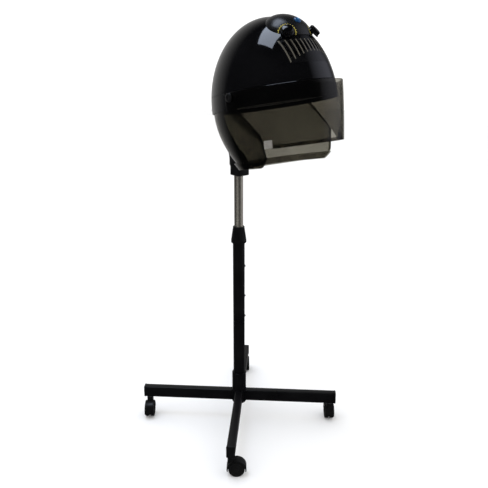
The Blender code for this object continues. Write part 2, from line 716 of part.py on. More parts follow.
def ellipsoid(name, half_sizes, material, parent, cutter=False, arcs=10, steps=20):
    """Ellipsoid with its poles on the X axis."""
    work = bmesh.new()
    bmesh.ops.create_uvsphere(work, u_segments=steps, v_segments=arcs, radius=1.0)
    shape = Matrix.Diagonal((*half_sizes, 1.0)) @ Matrix.Rotation(math.pi / 2, 4, "Y")
    bmesh.ops.transform(work, matrix=shape, verts=work.verts)
    mesh = bpy.data.meshes.new(name)
    work.to_mesh(mesh)
    work.free()
    smooth(mesh)
    return add_object(name, mesh, material, parent, cutter)


def dome_solid(name, grow, material, cutter=False):
    """The whole ellipsoid that the hood's shells are cut from, made larger by grow."""
    sizes = [size + grow for size in (DOME_HALF_WIDTH, DOME_HALF_DEPTH, DOME_RISE)]
    body = ellipsoid(name, sizes, material, HOOD, cutter, DOME_ARCS, DOME_STEPS)
    return place(body, (0, DOME_BACK, -DOME_DROP))


def slab_cutter(name, low, high, parent):
    reach = 4 * DOME_RISE
    return block(name, (reach, reach, high - low), (0, 0, (low + high) / 2), None, parent, cutter=True)


def front_cutter(name, half_width, low, high, offset=0.0):
    """Block that reaches through the front of the shell between two heights."""
    size = (2 * half_width, DOME_HALF_DEPTH, high - low)
    middle = (offset, -0.75 * DOME_HALF_DEPTH, (low + high) / 2)
    return block(name, size, middle, None, HOOD, cutter=True)


def build_shells(hood):
    dome = dome_solid("hood_dome", 0, GLOSS_BLACK)
    boolean(dome, DOME_INSIDE)
    boolean(dome, slab_cutter("cut_below_seam", -2 * DOME_RISE, SEAM_HEIGHT + GAP / 2, hood))
    opening = front_cutter("cut_grille_opening", GRILLE_HALF_WIDTH + GAP, GRILLE_LOW - GAP, GRILLE_HIGH + GAP)
    boolean(dome, opening)
    band = dome_solid("hood_band", 0, GLOSS_BLACK)
    boolean(band, DOME_INSIDE)
    boolean(band, slab_cutter("cut_above_seam", SEAM_HEIGHT - GAP / 2, 2 * DOME_RISE, hood))
    boolean(band, slab_cutter("cut_below_band", -2 * DOME_RISE, BAND_BOTTOM, hood))
    return dome


def build_grille(hood):
    grille = dome_solid("vent_grille", 0, MATTE_BLACK)
    boolean(grille, DOME_INSIDE)
    boolean(grille, front_cutter("cut_grille_edge", GRILLE_HALF_WIDTH, GRILLE_LOW, GRILLE_HIGH), "INTERSECT")
    pitch = 2 * GRILLE_HALF_WIDTH / (GRILLE_SLOTS + 0.5)
    slots = []
    for number in range(GRILLE_SLOTS):
        offset = (number - (GRILLE_SLOTS - 1) / 2) * pitch
        arch = GRILLE_ARCH * (1 - (offset / GRILLE_HALF_WIDTH) ** 2)
        low, high = GRILLE_LOW + GRILLE_BORDER + arch, GRILLE_HIGH - GRILLE_BORDER
        slots.append(front_cutter(f"slot_{number}", GRILLE_SLOT_WIDTH / 2, low, high, offset))
    boolean(grille, merged("cut_grille_slots", slots, hood))


def inside_ellipse(height):
    """Half width and half depth of the space inside the band at this height."""
    facets = math.cos(math.pi / DOME_STEPS) * math.cos(math.pi / 2 / DOME_ARCS)
    shrink = facets * math.sqrt(1 - ((height + DOME_DROP) / (DOME_RISE - SHELL_WALL)) ** 2)
    return (DOME_HALF_WIDTH - SHELL_WALL) * shrink - GAP, (DOME_HALF_DEPTH - SHELL_WALL) * shrink - GAP


def build_bonnet(hood):
    frame = frame_empty("bonnet_frame", hood, (0, 0, BAND_BOTTOM))
    facets = {"arcs": BONNET_ARCS, "steps": BONNET_STEPS}
    sizes = (BONNET_HALF_WIDTH, BONNET_RADIUS, BONNET_RADIUS)
    bonnet = ellipsoid("inner_bonnet", sizes, SOFT_GREY, frame, **facets)
    boolean(bonnet, slab_cutter("cut_below_bonnet", -2 * DOME_RISE, BONNET_FLANGE_Z, hood))
    flange = slab_cutter("join_flange", BONNET_FLANGE_Z, BONNET_FLANGE_Z + BONNET_FLANGE, hood)
    boolean(flange, DOME_INSIDE_CLEAR, "INTERSECT")
    boolean(bonnet, flange, "UNION")
    inner_sizes = [size - BONNET_WALL for size in sizes]
    inside = ellipsoid("cut_bonnet_inside", inner_sizes, None, frame, cutter=True, **facets)
    boolean(bonnet, inside)
    holes = []
    for polar, count in VENT_RINGS.items():
        for number in range(count):
            bearing = math.tau * number / count
            tilt = math.radians(polar)
            hole = cylinder_cutter("hole", VENT_RADIUS, 2 * BONNET_RADIUS, BONNET_RADIUS / 2, frame, 6)
            holes.append(place(hole, rotation=(0, tilt, bearing)))
    boolean(bonnet, merged("cut_bonnet_holes", holes, frame))


# Smoked skirt and visor

def blend(height, top, bottom, at_top, at_bottom, power=1.0):
    share = (top - height) / (top - bottom)
    return at_top + (at_bottom - at_top) * share**power


def skirt_front(height):
    """How far forward the skirt's side edge reaches: a diagonal, then upright, then a rounded corner."""
    diagonal = SKIRT_EDGE_START + (BAND_BOTTOM - height) * SKIRT_EDGE_SLOPE
    corner = SKIRT_BOTTOM + SKIRT_CORNER_HEIGHT - height
    if corner > 0:
        return SKIRT_FRONT_LOW - SKIRT_CORNER_BACK * (corner / SKIRT_CORNER_HEIGHT) ** 2
    return max(min(diagonal, SKIRT_FRONT_LOW), 0.0)


def skirt_row(height):
    top_width, top_depth = inside_ellipse(BAND_BOTTOM)
    span = (min(height, BAND_BOTTOM), BAND_BOTTOM, SKIRT_BOTTOM)
    half_width = blend(*span, top_width, SKIRT_FOOT_HALF_WIDTH, SKIRT_WIDTH_CURVE)
    half_depth = blend(*span, top_depth, SKIRT_FOOT_DEPTH, SKIRT_DEPTH_CURVE)
    front = skirt_front(height)
    arc = between(0, math.pi, 16)
    back_arc = [(half_width * math.cos(a), DOME_BACK + half_depth * math.sin(a)) for a in arc]
    right = [(half_width, -front * part) for part in (1.0, 0.5)]
    left = [(-x, y) for x, y in reversed(right)]
    return [(x, y, height) for x, y in right + back_arc + left]


def build_skirt(hood):
    heights = between(SKIRT_TOP, BAND_BOTTOM, 1) + between(BAND_BOTTOM, SKIRT_BOTTOM, 9)[1:]
    sheet("neck_skirt", [skirt_row(z) for z in heights], SKIRT_WALL, SMOKED, hood)


def visor_reach(height):
    return blend(height, VISOR_TOP, VISOR_BOTTOM, VISOR_TOP_REACH, VISOR_FOOT_REACH, VISOR_CURVE)


def visor_half_width(height):
    return blend(height, VISOR_TOP, VISOR_BOTTOM, VISOR_TOP_HALF_WIDTH, VISOR_FOOT_HALF_WIDTH)


def visor_back(height):
    """Rear edge of the visor: upright behind the pivot, then a diagonal down to the front corner."""
    if height >= VISOR_EAR_BOTTOM:
        return VISOR_EAR_BACK
    return blend(height, VISOR_EAR_BOTTOM, VISOR_BOTTOM, VISOR_EAR_BACK, VISOR_CORNER)


def visor_point(angle, height, grow=0.0):
    reach, half_width = visor_reach(height) + grow, visor_half_width(height) + grow
    return (half_width * math.sin(angle), -reach * math.cos(angle), height)


def visor_row(height):
    start = math.acos(max(min(visor_back(height) / visor_reach(height), 1), -1))
    return [visor_point(angle, height) for angle in between(-start, start, VISOR_ARCS)]


def build_tab(hood, name, side):
    """Finger tab on the outside of the visor's lower corner."""
    low = VISOR_BOTTOM + TAB_WALL / 2
    middle = math.acos(visor_back(low + TAB_HEIGHT / 2) / visor_reach(low)) - TAB_WIDTH / VISOR_FOOT_REACH / 2
    half_turn = TAB_WIDTH / VISOR_FOOT_REACH / 2
    rows = []
    for height in between(low + TAB_HEIGHT, low, 2):
        angles = between(side * middle - half_turn, side * middle + half_turn, 3)
        rows.append([visor_point(angle, height, GAP + TAB_WALL) for angle in angles])
    sheet(f"visor_tab_{name}", rows, TAB_WALL, PALE_GREY, hood)


def build_visor(hood):
    heights = between(VISOR_TOP, VISOR_EAR_BOTTOM, 2) + between(VISOR_EAR_BOTTOM, VISOR_BOTTOM, 5)[1:]
    visor = sheet("visor", [visor_row(z) for z in heights], VISOR_WALL, SMOKED, hood)
    reach = 2 * DOME_HALF_WIDTH
    hole = cylinder_cutter("cut_visor_pivot", PIVOT_RADIUS + GAP, reach, -reach, hood)
    boolean(visor, place(hole, rotation=CROSSWISE))
    share = 1 - (DOME_BACK / DOME_HALF_DEPTH) ** 2 - (DOME_DROP / DOME_RISE) ** 2
    inner = DOME_HALF_WIDTH * math.sqrt(share) + GAP
    half_facet = math.acos(VISOR_EAR_BACK / VISOR_TOP_REACH) / VISOR_ARCS
    flat = VISOR_TOP_HALF_WIDTH * (1 - math.cos(half_facet))
    visor_inner = visor_half_width(-2 * PIVOT_RADIUS) - VISOR_WALL - flat - GAP
    visor_outer = visor_half_width(PIVOT_HEAD_RADIUS) + GAP
    for name, side in (("left", 1), ("right", -1)):
        turn = (0, side * math.pi / 2, 0)
        washer = tube_profile(2 * PIVOT_RADIUS, PIVOT_RADIUS + GAP, visor_inner, inner)
        place(turned(f"visor_washer_{name}", washer, MATTE_BLACK, hood, 16, hollow=True), rotation=turn)
        edge = KNOB_EDGE * PIVOT_HEAD
        pivot = [
            (0, visor_outer + PIVOT_HEAD), (PIVOT_HEAD_RADIUS - edge, visor_outer + PIVOT_HEAD),
            (PIVOT_HEAD_RADIUS, visor_outer + PIVOT_HEAD - edge), (PIVOT_HEAD_RADIUS, visor_outer),
            (PIVOT_RADIUS, visor_outer), (PIVOT_RADIUS, inner), (0, inner),
        ]
        place(turned(f"visor_pivot_{name}", pivot, MATTE_BLACK, hood), rotation=turn)
        build_tab(hood, name, side)


# Control pod

def pod_surface(x, y):
    """Point on the pod's outer surface and the outward direction there, in the pod's frame."""
    a, b, c = POD_HALF_WIDTH, POD_HALF_LENGTH, POD_HALF_HEIGHT
    z = c * math.sqrt(1 - (x / a) ** 2 - (y / b) ** 2)
    return Vector((x, y, z)), Vector((x / a**2, y / b**2, z / c**2)).normalized()


def pod_place():
    """Middle of the pod and its turn about X, in the hood's frame, from the dome it sits on."""
    front, out = dome_surface(0, POD_UP)
    return front + Vector((0, POD_BURIED, 0)), math.atan2(-out.y, out.z) - POD_LEAN


def dome_under_pod(x, y):
    """Point of the dome, a clearance out, straight under a place on the pod, in the pod's frame."""
    middle, lean = pod_place()
    turn = Matrix.Rotation(lean, 3, "X")
    sizes = [size + GAP for size in (DOME_HALF_WIDTH, DOME_HALF_DEPTH, DOME_RISE)]
    shrink = Matrix.Diagonal([1 / size for size in sizes])
    start = shrink @ (middle + turn @ Vector((x, y, 0)) - Vector((0, DOME_BACK, -DOME_DROP)))
    way = shrink @ turn @ Vector((0, 0, 1))
    along, square = start.dot(way), way.dot(way)
    z = (math.sqrt(along**2 - square * (start.dot(start) - 1)) - along) / square
    return Vector((x, y, z))


def pod_rim(angle):
    """Plan distance in one direction at which the pod comes down to its rim's thickness."""
    cosine, sine = math.cos(angle), math.sin(angle)
    low, high = 0.0, 1 / math.hypot(cosine / POD_HALF_WIDTH, sine / POD_HALF_LENGTH)
    while high - low > GAP / 100:
        reach = (low + high) / 2
        x, y = reach * cosine, reach * sine
        if pod_surface(x, y)[0].z - dome_under_pod(x, y).z > POD_EDGE:
            low = reach
        else:
            high = reach
    return low


def pod_rows():
    """Rings from the middle of the pod's underside out to its rim and back over its outer surface."""
    angles = between(0, math.tau, POD_STEPS)[:-1]
    reaches = [(angle, pod_rim(angle)) for angle in angles]
    rims = [(reach * math.cos(angle), reach * math.sin(angle)) for angle, reach in reaches]
    shares = between(0, 1, POD_ROWS)
    under = [[dome_under_pod(x * share, y * share) for x, y in rims] for share in shares]
    over = [[pod_surface(x * share, y * share)[0] for x, y in rims] for share in reversed(shares)]
    return under + over


def build_pod(hood, dome):
    middle, lean = pod_place()
    frame = frame_empty("pod_frame", hood, middle, (lean, 0, 0))
    pod = lofted("control_pod", pod_rows(), MATTE_BLACK, frame)
    for side, knob_name, unit_name in ((-1, "timer_knob", "timer_unit"), (1, "heat_knob", "heat_switch")):
        build_knob(pod, dome, hood, side, knob_name, unit_name)
    point, normal = pod_surface(0, LENS_BACK)
    lens_frame = frame_empty("lens_frame", frame, point, normal.to_track_quat("Z", "Y").to_euler())
    hole = cylinder_cutter("cut_lens", LENS_RADIUS + GAP, 4 * LENS_RISE, -LENS_ROOT - GAP, lens_frame)
    boolean(pod, hole)
    profile = [(LENS_RADIUS * math.cos(a), LENS_RISE * math.sin(a)) for a in between(math.pi / 2, 0, 4)]
    profile[0] = (0, LENS_RISE)
    profile += [(LENS_RADIUS, -LENS_ROOT), (0, -LENS_ROOT)]
    turned("lamp_lens", profile, BLUE_LENS, lens_frame)


def dome_surface(x, z):
    """Point on the front of the dome and the outward direction there, in the hood's frame."""
    share = 1 - (x / DOME_HALF_WIDTH) ** 2 - ((z + DOME_DROP) / DOME_RISE) ** 2
    y = DOME_BACK - DOME_HALF_DEPTH * math.sqrt(share)
    slope_y, slope_z = (y - DOME_BACK) / DOME_HALF_DEPTH**2, (z + DOME_DROP) / DOME_RISE**2
    out = Vector((x / DOME_HALF_WIDTH**2, slope_y, slope_z))
    return Vector((x, y, z)), out.normalized()


def build_knob(pod, dome, hood, side, knob_name, unit_name):
    middle, lean = pod_place()
    spot = middle + Matrix.Rotation(lean, 3, "X") @ dome_under_pod(side * KNOB_SPREAD, -KNOB_AHEAD)
    point, normal = dome_surface(spot.x, spot.z)
    seat = point + normal * KNOB_LIFT
    axis = frame_empty(f"{knob_name}_axis", hood, seat, normal.to_track_quat("Z", "Y").to_euler())
    boolean(pod, cylinder_cutter(f"cut_seat_{knob_name}", KNOB_SEAT_RADIUS, 2 * KNOB_HEIGHT, 0, axis))
    hole = cylinder_cutter(f"cut_shaft_{knob_name}", KNOB_SHAFT + GAP, KNOB_HEIGHT, -KNOB_HEIGHT, axis)
    boolean(pod, hole)
    boolean(dome, hole)
    edge = KNOB_EDGE * KNOB_HEIGHT
    profile = [
        (0, KNOB_HEIGHT), (KNOB_RADIUS - edge, KNOB_HEIGHT), (KNOB_RADIUS, KNOB_HEIGHT - edge),
        (KNOB_RADIUS, GAP), (KNOB_SHAFT, GAP), (KNOB_SHAFT, -KNOB_SHAFT_LENGTH), (0, -KNOB_SHAFT_LENGTH),
    ]
    turned(knob_name, profile, GLOSS_BLACK, axis)
    top = -KNOB_LIFT - SHELL_WALL - UNIT_DROP
    bore_bottom = -KNOB_SHAFT_LENGTH - GAP
    unit = [
        (0, bore_bottom), (KNOB_SHAFT + GAP, bore_bottom), (KNOB_SHAFT + GAP, top), (UNIT_RADIUS, top),
        (UNIT_RADIUS, top - UNIT_LENGTH), (0, top - UNIT_LENGTH),
    ]
    turned(unit_name, unit, SOFT_GREY, axis, 16)


# Fan and heater

def build_fan(hood):
    plate_bottom = MOTOR_TOP + GAP
    plate_top = plate_bottom + BRACKET_PLATE
    profile = [
        (0, DOME_RISE), (BRACKET_BOSS, DOME_RISE), (BRACKET_BOSS, plate_top), (BRACKET_RADIUS, plate_top),
        (BRACKET_RADIUS, plate_bottom), (0, plate_bottom),
    ]
    bracket = turned("motor_bracket", profile, STEEL, hood)
    boolean(bracket, DOME_INSIDE_CLEAR, "INTERSECT")
    shaft_end = IMPELLER_DISC_Z - IMPELLER_HUB / 2
    motor = [
        (0, MOTOR_TOP), (MOTOR_RADIUS, MOTOR_TOP), (MOTOR_RADIUS, MOTOR_BOTTOM), (SHAFT_RADIUS, MOTOR_BOTTOM),
        (SHAFT_RADIUS, shaft_end), (0, shaft_end),
    ]
    turned("fan_motor", motor, STEEL, hood, 16)

    disc_top = IMPELLER_DISC_Z + IMPELLER_DISC
    hub_top = disc_top + BLADE_HEIGHT
    bore = SHAFT_RADIUS + GAP
    profile = [
        (bore, hub_top), (IMPELLER_HUB, hub_top), (IMPELLER_HUB, disc_top), (IMPELLER_RADIUS, disc_top),
        (IMPELLER_RADIUS, IMPELLER_DISC_Z), (bore, IMPELLER_DISC_Z),
    ]
    impeller = turned("fan_impeller", profile, SOFT_GREY, hood, hollow=True)
    blades = []
    for number in range(BLADE_COUNT):
        angle = math.tau * number / BLADE_COUNT
        reach = IMPELLER_RADIUS - BLADE_INSET - BLADE_LENGTH / 2
        size = (BLADE_LENGTH, BLADE_WIDTH, BLADE_HEIGHT)
        middle = disc_top + BLADE_HEIGHT / 2 - IMPELLER_DISC / 2
        blade = block("blade", size, (0, 0, 0), None, hood, cutter=True)
        blades.append(place(blade, (reach * math.cos(angle), reach * math.sin(angle), middle), (0, 0, angle)))
    boolean(impeller, merged("join_blades", blades, hood), "UNION")


def build_heater(hood):
    inner, outer = HEATER_RADIUS - HEATER_RING_WIDTH / 2, HEATER_RADIUS + HEATER_RING_WIDTH / 2
    ring_top = HEATER_Z + HEATER_RING
    ring = tube_profile(outer, inner, ring_top, HEATER_Z)
    frame = turned("heater_frame", ring, SOFT_GREY, hood, 24, hollow=True)
    posts = []
    for number in range(4):
        angle = math.pi / 4 + math.tau * number / 4
        post = cylinder_cutter("post", HEATER_POST, DOME_RISE, HEATER_Z + HEATER_RING / 2, hood, 8)
        posts.append(place(post, (HEATER_RADIUS * math.cos(angle), HEATER_RADIUS * math.sin(angle), 0)))
    boolean(frame, merged("join_posts", posts, hood), "UNION")
    boolean(frame, DOME_INSIDE_CLEAR, "INTERSECT")

    coil_middle = HEATER_Z - COIL_RADIUS - GAP
    section = []
    for angle in between(0, math.tau, 6)[:-1]:
        offset_out, offset_down = COIL_RADIUS * math.cos(angle), COIL_RADIUS * math.sin(angle)
        section.append((HEATER_RADIUS + offset_out, coil_middle - offset_down))
    turned("heater_coil", section, STEEL, hood, hollow=True)
    where = (0, HEATER_RADIUS, ring_top + GAP + CUTOUT_SIZE[2] / 2)
    block("thermal_cutout", CUTOUT_SIZE, where, PALE_GREY, hood)


# Assembly

clear_scene()
PARTS = new_collection("standing_hood_dryer")
CUTTERS = new_collection("cutters")
SATIN_BLACK = new_material("satin_black_paint", (0.012, 0.012, 0.013), 0.35)
MATTE_BLACK = new_material("black_plastic", (0.018, 0.018, 0.019), 0.45)
GLOSS_BLACK = new_material("gloss_black_plastic", (0.010, 0.010, 0.012), 0.08)
RUBBER = new_material("wheel_tread", (0.020, 0.020, 0.020), 0.6)
CHROME = new_material("chrome", (0.75, 0.74, 0.72), 0.08, metallic=1.0)
STEEL = new_material("steel", (0.55, 0.55, 0.55), 0.3, metallic=1.0)
SMOKED = new_material("smoked_clear_plastic", (0.20, 0.19, 0.18), 0.05, alpha=0.55)
SOFT_GREY = new_material("grey_plastic", (0.30, 0.30, 0.31), 0.5)
PALE_GREY = new_material("pale_grey_pad", (0.72, 0.72, 0.70), 0.6)
BLUE_LENS = new_material("blue_lens", (0.02, 0.16, 0.45), 0.1)

ROOT = frame_empty("base_frame", None, (0, COLUMN_SETBACK, 0))
build_hub(ROOT)
for leg_name, leg_bearing in LEG_BEARINGS.items():
    build_leg(ROOT, leg_name, math.radians(leg_bearing))
    build_castor(ROOT, leg_name, math.radians(leg_bearing), math.radians(CASTOR_HEADINGS[leg_name]))
build_column(ROOT)
build_lock(ROOT)
MAST = frame_empty("mast_frame", ROOT)
build_mast(MAST)
CARRIER = frame_empty("carrier_frame", MAST)
HINGE = Vector((0, HINGE_BEHIND, HOOD_HEIGHT + HINGE_FROM_PIVOT.z))
build_bracket(CARRIER, HINGE)
TILT = frame_empty("tilt_frame", CARRIER, HINGE)
HOOD = frame_empty("hood_frame", TILT, -HINGE_FROM_PIVOT, (-HOOD_TILT, 0, 0))
DOME_CLEAR = dome_solid("cut_dome_outside", GAP, None, cutter=True)
DOME_INSIDE = dome_solid("cut_dome_inside", -SHELL_WALL, None, cutter=True)
DOME_INSIDE_CLEAR = dome_solid("keep_inside_dome", -SHELL_WALL - GAP, None, cutter=True)
build_clevis(HOOD)
DOME = build_shells(HOOD)
build_grille(HOOD)
build_bonnet(HOOD)
build_skirt(HOOD)
build_visor(HOOD)
build_pod(HOOD, DOME)
build_fan(HOOD)
build_heater(HOOD)
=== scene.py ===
"""Looks of the standing hood dryer: smooth shells, smoked sheets, castor base, studio light and camera."""

import json
import math
from functools import partial

import bmesh
import bpy
from mathutils import Matrix, Vector


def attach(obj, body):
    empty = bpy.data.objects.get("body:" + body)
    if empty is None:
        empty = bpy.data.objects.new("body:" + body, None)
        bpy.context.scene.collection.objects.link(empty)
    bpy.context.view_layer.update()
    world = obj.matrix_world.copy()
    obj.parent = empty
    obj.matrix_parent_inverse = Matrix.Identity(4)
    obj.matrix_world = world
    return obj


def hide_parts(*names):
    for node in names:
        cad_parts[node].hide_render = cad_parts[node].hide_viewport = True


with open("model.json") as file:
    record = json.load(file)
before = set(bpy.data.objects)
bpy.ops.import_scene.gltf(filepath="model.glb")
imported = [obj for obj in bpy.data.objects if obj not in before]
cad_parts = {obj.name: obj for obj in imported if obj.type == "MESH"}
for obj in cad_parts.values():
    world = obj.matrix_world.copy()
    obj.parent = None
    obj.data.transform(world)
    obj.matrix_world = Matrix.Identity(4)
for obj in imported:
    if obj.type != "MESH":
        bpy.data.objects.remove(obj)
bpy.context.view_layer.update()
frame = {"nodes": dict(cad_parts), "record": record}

# Sizes of the part, in metres; those that its source works out are given as results
GAP = 0.0003
SETBACK = 0.0528
LEG_REACH = 0.330
LEG_WIDTH = 0.025
LEG_HEIGHT = 0.038
LEG_BOTTOM = 0.069
LEG_CORNER = 0.004
LEG_BEARINGS = {"front": -135, "right": -45, "rear": 45, "left": 135}
CAP_LIP = 0.004
CAP_GROW = 0.0008
HUB_RADIUS = 0.0235
HUB_BOTTOM = 0.062
HUB_TOP = 0.174
CASTOR_REACH = 0.3115
CASTOR_TRAIL = 0.016
CASTOR_HEADINGS = {"front": -41, "right": 49, "rear": 49, "left": -131}
WHEEL_RADIUS = 0.025
WHEEL_INNER = 0.0035
WHEEL_OUTER = 0.0155
WHEEL_CENTRE = 0.024692
CASTOR_HOOD_RADIUS = 0.0298
CASTOR_HOOD_INSIDE = 0.0268
CASTOR_HOOD_LOW = 0.0184
COLUMN_RADIUS = 0.019
COLUMN_TOP = 0.660
COLUMN_BOTTOM = 0.0703
RIVET_HEIGHTS = (0.381, 0.452, 0.555)
RIVET_BEARING = -41
POLE_RADIUS = 0.014
POLE_BOTTOM = 0.330
POLE_TOP = 0.880
COLLET_BOTTOM = 0.6633
COLLET_TOP = 0.682
COLLET_ROOM = 0.0025
COLLAR_BOTTOM = 0.6355
COLLAR_TOP = 0.688
COLLAR_BASE = 0.0245
COLLAR_NECK = 0.0185
HOOD_HEIGHT = 1.100
HOOD_TILT = math.radians(11)
DOME = (0.148, 0.203, 0.233)
DOME_BACK = 0.009
DOME_DROP = 0.0256
SHELL_WALL = 0.003
SEAM_HEIGHT = 0.015
BAND_BOTTOM = -0.030
BONNET = (0.118, 0.150, 0.150)
BONNET_WALL = 0.002
BONNET_FLANGE_Z = -0.0185
BONNET_FLANGE = 0.0025
SKIRT_TOP = -0.0205
SKIRT_BOTTOM = -0.192
SKIRT_WALL = 0.003
SKIRT_FOOT_HALF_WIDTH = 0.120
SKIRT_FOOT_DEPTH = 0.098
SKIRT_FRONT_LOW = 0.076
VISOR_TOP = 0.012
VISOR_BOTTOM = -0.145
VISOR_WALL = 0.0025
VISOR_TOP_REACH = 0.2115
VISOR_FOOT_REACH = 0.1945
VISOR_TOP_HALF_WIDTH = 0.1615
VISOR_FOOT_HALF_WIDTH = 0.1570
VISOR_EAR_BACK = -0.020
VISOR_EAR_BOTTOM = -0.034
VISOR_CORNER = 0.1045
PIVOT_RADIUS = 0.005
PIVOT_HEAD_RADIUS = 0.012
PIVOT_HEAD = 0.005
TAB_HEIGHT = 0.021
TAB_WIDTH = 0.022
TAB_WALL = 0.003
POD_LEAN = math.radians(11.5)
POD_BURIED = 0.0503
POD_UP = 0.146
POD_EDGE = 0.001
POD = (0.068, 0.070, 0.048)
KNOB_RADIUS = 0.0175
KNOB_HEIGHT = 0.016
KNOB_SPREAD = 0.045
KNOB_AHEAD = 0.040
KNOB_LIFT = 0.004
KNOB_SEAT_RADIUS = 0.0205
KNOB_SHAFT = 0.003
KNOB_SHAFT_LENGTH = 0.014
LENS_RADIUS = 0.0105
LENS_RISE = 0.0055
LENS_ROOT = 0.004
LENS_BACK = -0.018
GRILLE_LOW = 0.060
GRILLE_HIGH = 0.122
GRILLE_HALF_WIDTH = 0.075
GRILLE_SLOTS = 12
GRILLE_SLOT_WIDTH = 0.005
GRILLE_BORDER = 0.005
GRILLE_ARCH = 0.028
GRILLE_PITCH = 2 * GRILLE_HALF_WIDTH / (GRILLE_SLOTS + 0.5)
HINGE_BACK = 0.250
HINGE_RISE = -0.0075
HINGE_BEHIND = 0.092
HOOD_FORWARD = HINGE_BACK * math.cos(HOOD_TILT) + HINGE_RISE * math.sin(HOOD_TILT) - HINGE_BEHIND
LUG_HALF_WIDTH = 0.0193
TILT_KNOB_RADIUS = 0.016
TILT_KNOB_WIDTH = 0.014
SOCKET_BOTTOM = 0.853
SOCKET_WIDTH = 0.044
SOCKET_DEPTH = 0.045
SOCKET_FORWARD = 0.005
SOCKET_CORNER = 0.007
SOCKET_ROOF = 0.012
SOCKET_BORE = 0.0161
ARM_WIDTH = 0.030
ARM_DEPTH = 0.024
ARM_END_WIDTH = 0.022
ARM_BLEND = 0.35
KNUCKLE_RADIUS = 0.014
KNUCKLE_HALF_WIDTH = 0.01185  # 0.15 mm less than the part's
PIN_RADIUS = 0.004

COLUMN = Matrix.Translation((0, SETBACK, 0))
HOOD = Matrix.Translation((0, SETBACK - HOOD_FORWARD, HOOD_HEIGHT)) @ Matrix.Rotation(-HOOD_TILT, 4, "X")
CROSSWISE = Matrix.Rotation(math.pi / 2, 4, "Y")


# Shape tools: a shape is a pair of points and faces

ON_AXIS = 1e-6  # points nearer than this to an axis or to each other are one
CORNER_SHARE = 0.45  # most of an edge that a rounded corner may take
CRISP_ANGLE = math.radians(30)  # steeper edges are shaded crisp
SOFT_ANGLE = math.radians(35)  # steeper edges are rounded by soften


def between(low, high, count):
    return [low + (high - low) * i / count for i in range(count + 1)]


def fillet(profile, radius, steps=4, loop=False):
    """Rounds a profile's corners; a pair's third number is that corner's own radius."""
    done = []
    for i, corner in enumerate(profile):
        point = Vector(corner[:2])
        reach = corner[2] if len(corner) > 2 else radius
        if reach == 0 or (not loop and i in (0, len(profile) - 1)):
            done.append(tuple(point))
            continue
        before = Vector(profile[i - 1][:2]) - point
        after = Vector(profile[(i + 1) % len(profile)][:2]) - point
        start = point + before.normalized() * min(reach, CORNER_SHARE * before.length)
        end = point + after.normalized() * min(reach, CORNER_SHARE * after.length)
        for t in between(0, 1, steps):
            done.append(tuple((1 - t) ** 2 * start + 2 * t * (1 - t) * point + t * t * end))
    return done


def lathe(profile, steps=64, loop=False, flutes=0, depth=0.0, fluted=(0.0, 0.0)):
    """Body of revolution about Z, with grip flutes between two heights where asked for."""
    points, rings = [], []
    for radius, height in profile:
        if radius < ON_AXIS:
            rings.append([len(points)])
            points.append(Vector((0, 0, height)))
            continue
        rings.append(list(range(len(points), len(points) + steps)))
        for angle in between(0, math.tau, steps)[:-1]:
            groove = depth * (0.5 - 0.5 * math.cos(flutes * angle)) ** 2
            r = radius - groove if flutes and fluted[0] <= height <= fluted[1] else radius
            points.append(Vector((r * math.cos(angle), r * math.sin(angle), height)))
    faces = []
    for a, b in zip(rings, rings[1:] + (rings[:1] if loop else [])):
        for i in range(steps):
            j = (i + 1) % steps
            corners = [a[i % len(a)], a[j % len(a)], b[j % len(b)], b[i % len(b)]]
            faces.append(list(dict.fromkeys(corners)))
    return points, [face for face in faces if len(face) > 2]


def loft(rings, loop=False):
    """Closed body through matching rings, with flat ends or looping back to the first ring."""
    count, total = len(rings[0]), len(rings)
    points = [Vector(point) for ring in rings for point in ring]
    faces = []
    for k in range(total if loop else total - 1):
        a, b = k * count, (k + 1) % total * count
        for i in range(count):
            j = (i + 1) % count
            faces.append([a + i, a + j, b + j, b + i])
    if not loop:
        faces.append(list(reversed(range(count))))
        faces.append([(total - 1) * count + i for i in range(count)])
    return points, faces


def grid(rows):
    """Open sheet through rows of points."""
    width = len(rows[0])
    points = [Vector(point) for row in rows for point in row]
    faces = []
    for k in range(len(rows) - 1):
        for i in range(width - 1):
            a = k * width + i
            faces.append([a, a + width, a + width + 1, a + 1])
    return points, faces


def joined(*shapes):
    points, faces = [], []
    for more_points, more_faces in shapes:
        start = len(points)
        points += more_points
        faces += [[start + i for i in face] for face in more_faces]
    return points, faces


def moved(shape, matrix):
    return [matrix @ point for point in shape[0]], shape[1]


def box(size, centre=(0, 0, 0)):
    half, middle = Vector(size) / 2, Vector(centre)
    plan = [(-half.x, -half.y), (half.x, -half.y), (half.x, half.y), (-half.x, half.y)]
    return loft([[middle + Vector((x, y, z)) for x, y in plan] for z in (-half.z, half.z)])


def rod(radius, top, bottom, steps=48):
    return lathe([(0, top), (radius, top), (radius, bottom), (0, bottom)], steps)


def rounded_rectangle(half_width, half_height, radius, steps=6):
    corners = [(1, 1), (-1, 1), (-1, -1), (1, -1)]
    points = []
    for number, (u, v) in enumerate(corners):
        for angle in between(number * math.pi / 2, (number + 1) * math.pi / 2, steps):
            points.append((u * (half_width - radius) + radius * math.cos(angle),
                           v * (half_height - radius) + radius * math.sin(angle)))
    return points


def tidy_mesh(mesh):
    work = bmesh.new()
    work.from_mesh(mesh)
    bmesh.ops.remove_doubles(work, verts=work.verts, dist=ON_AXIS)
    bmesh.ops.recalc_face_normals(work, faces=work.faces)
    work.to_mesh(mesh)
    work.free()
    mesh.shade_smooth()
    mesh.set_sharp_from_angle(angle=CRISP_ANGLE)


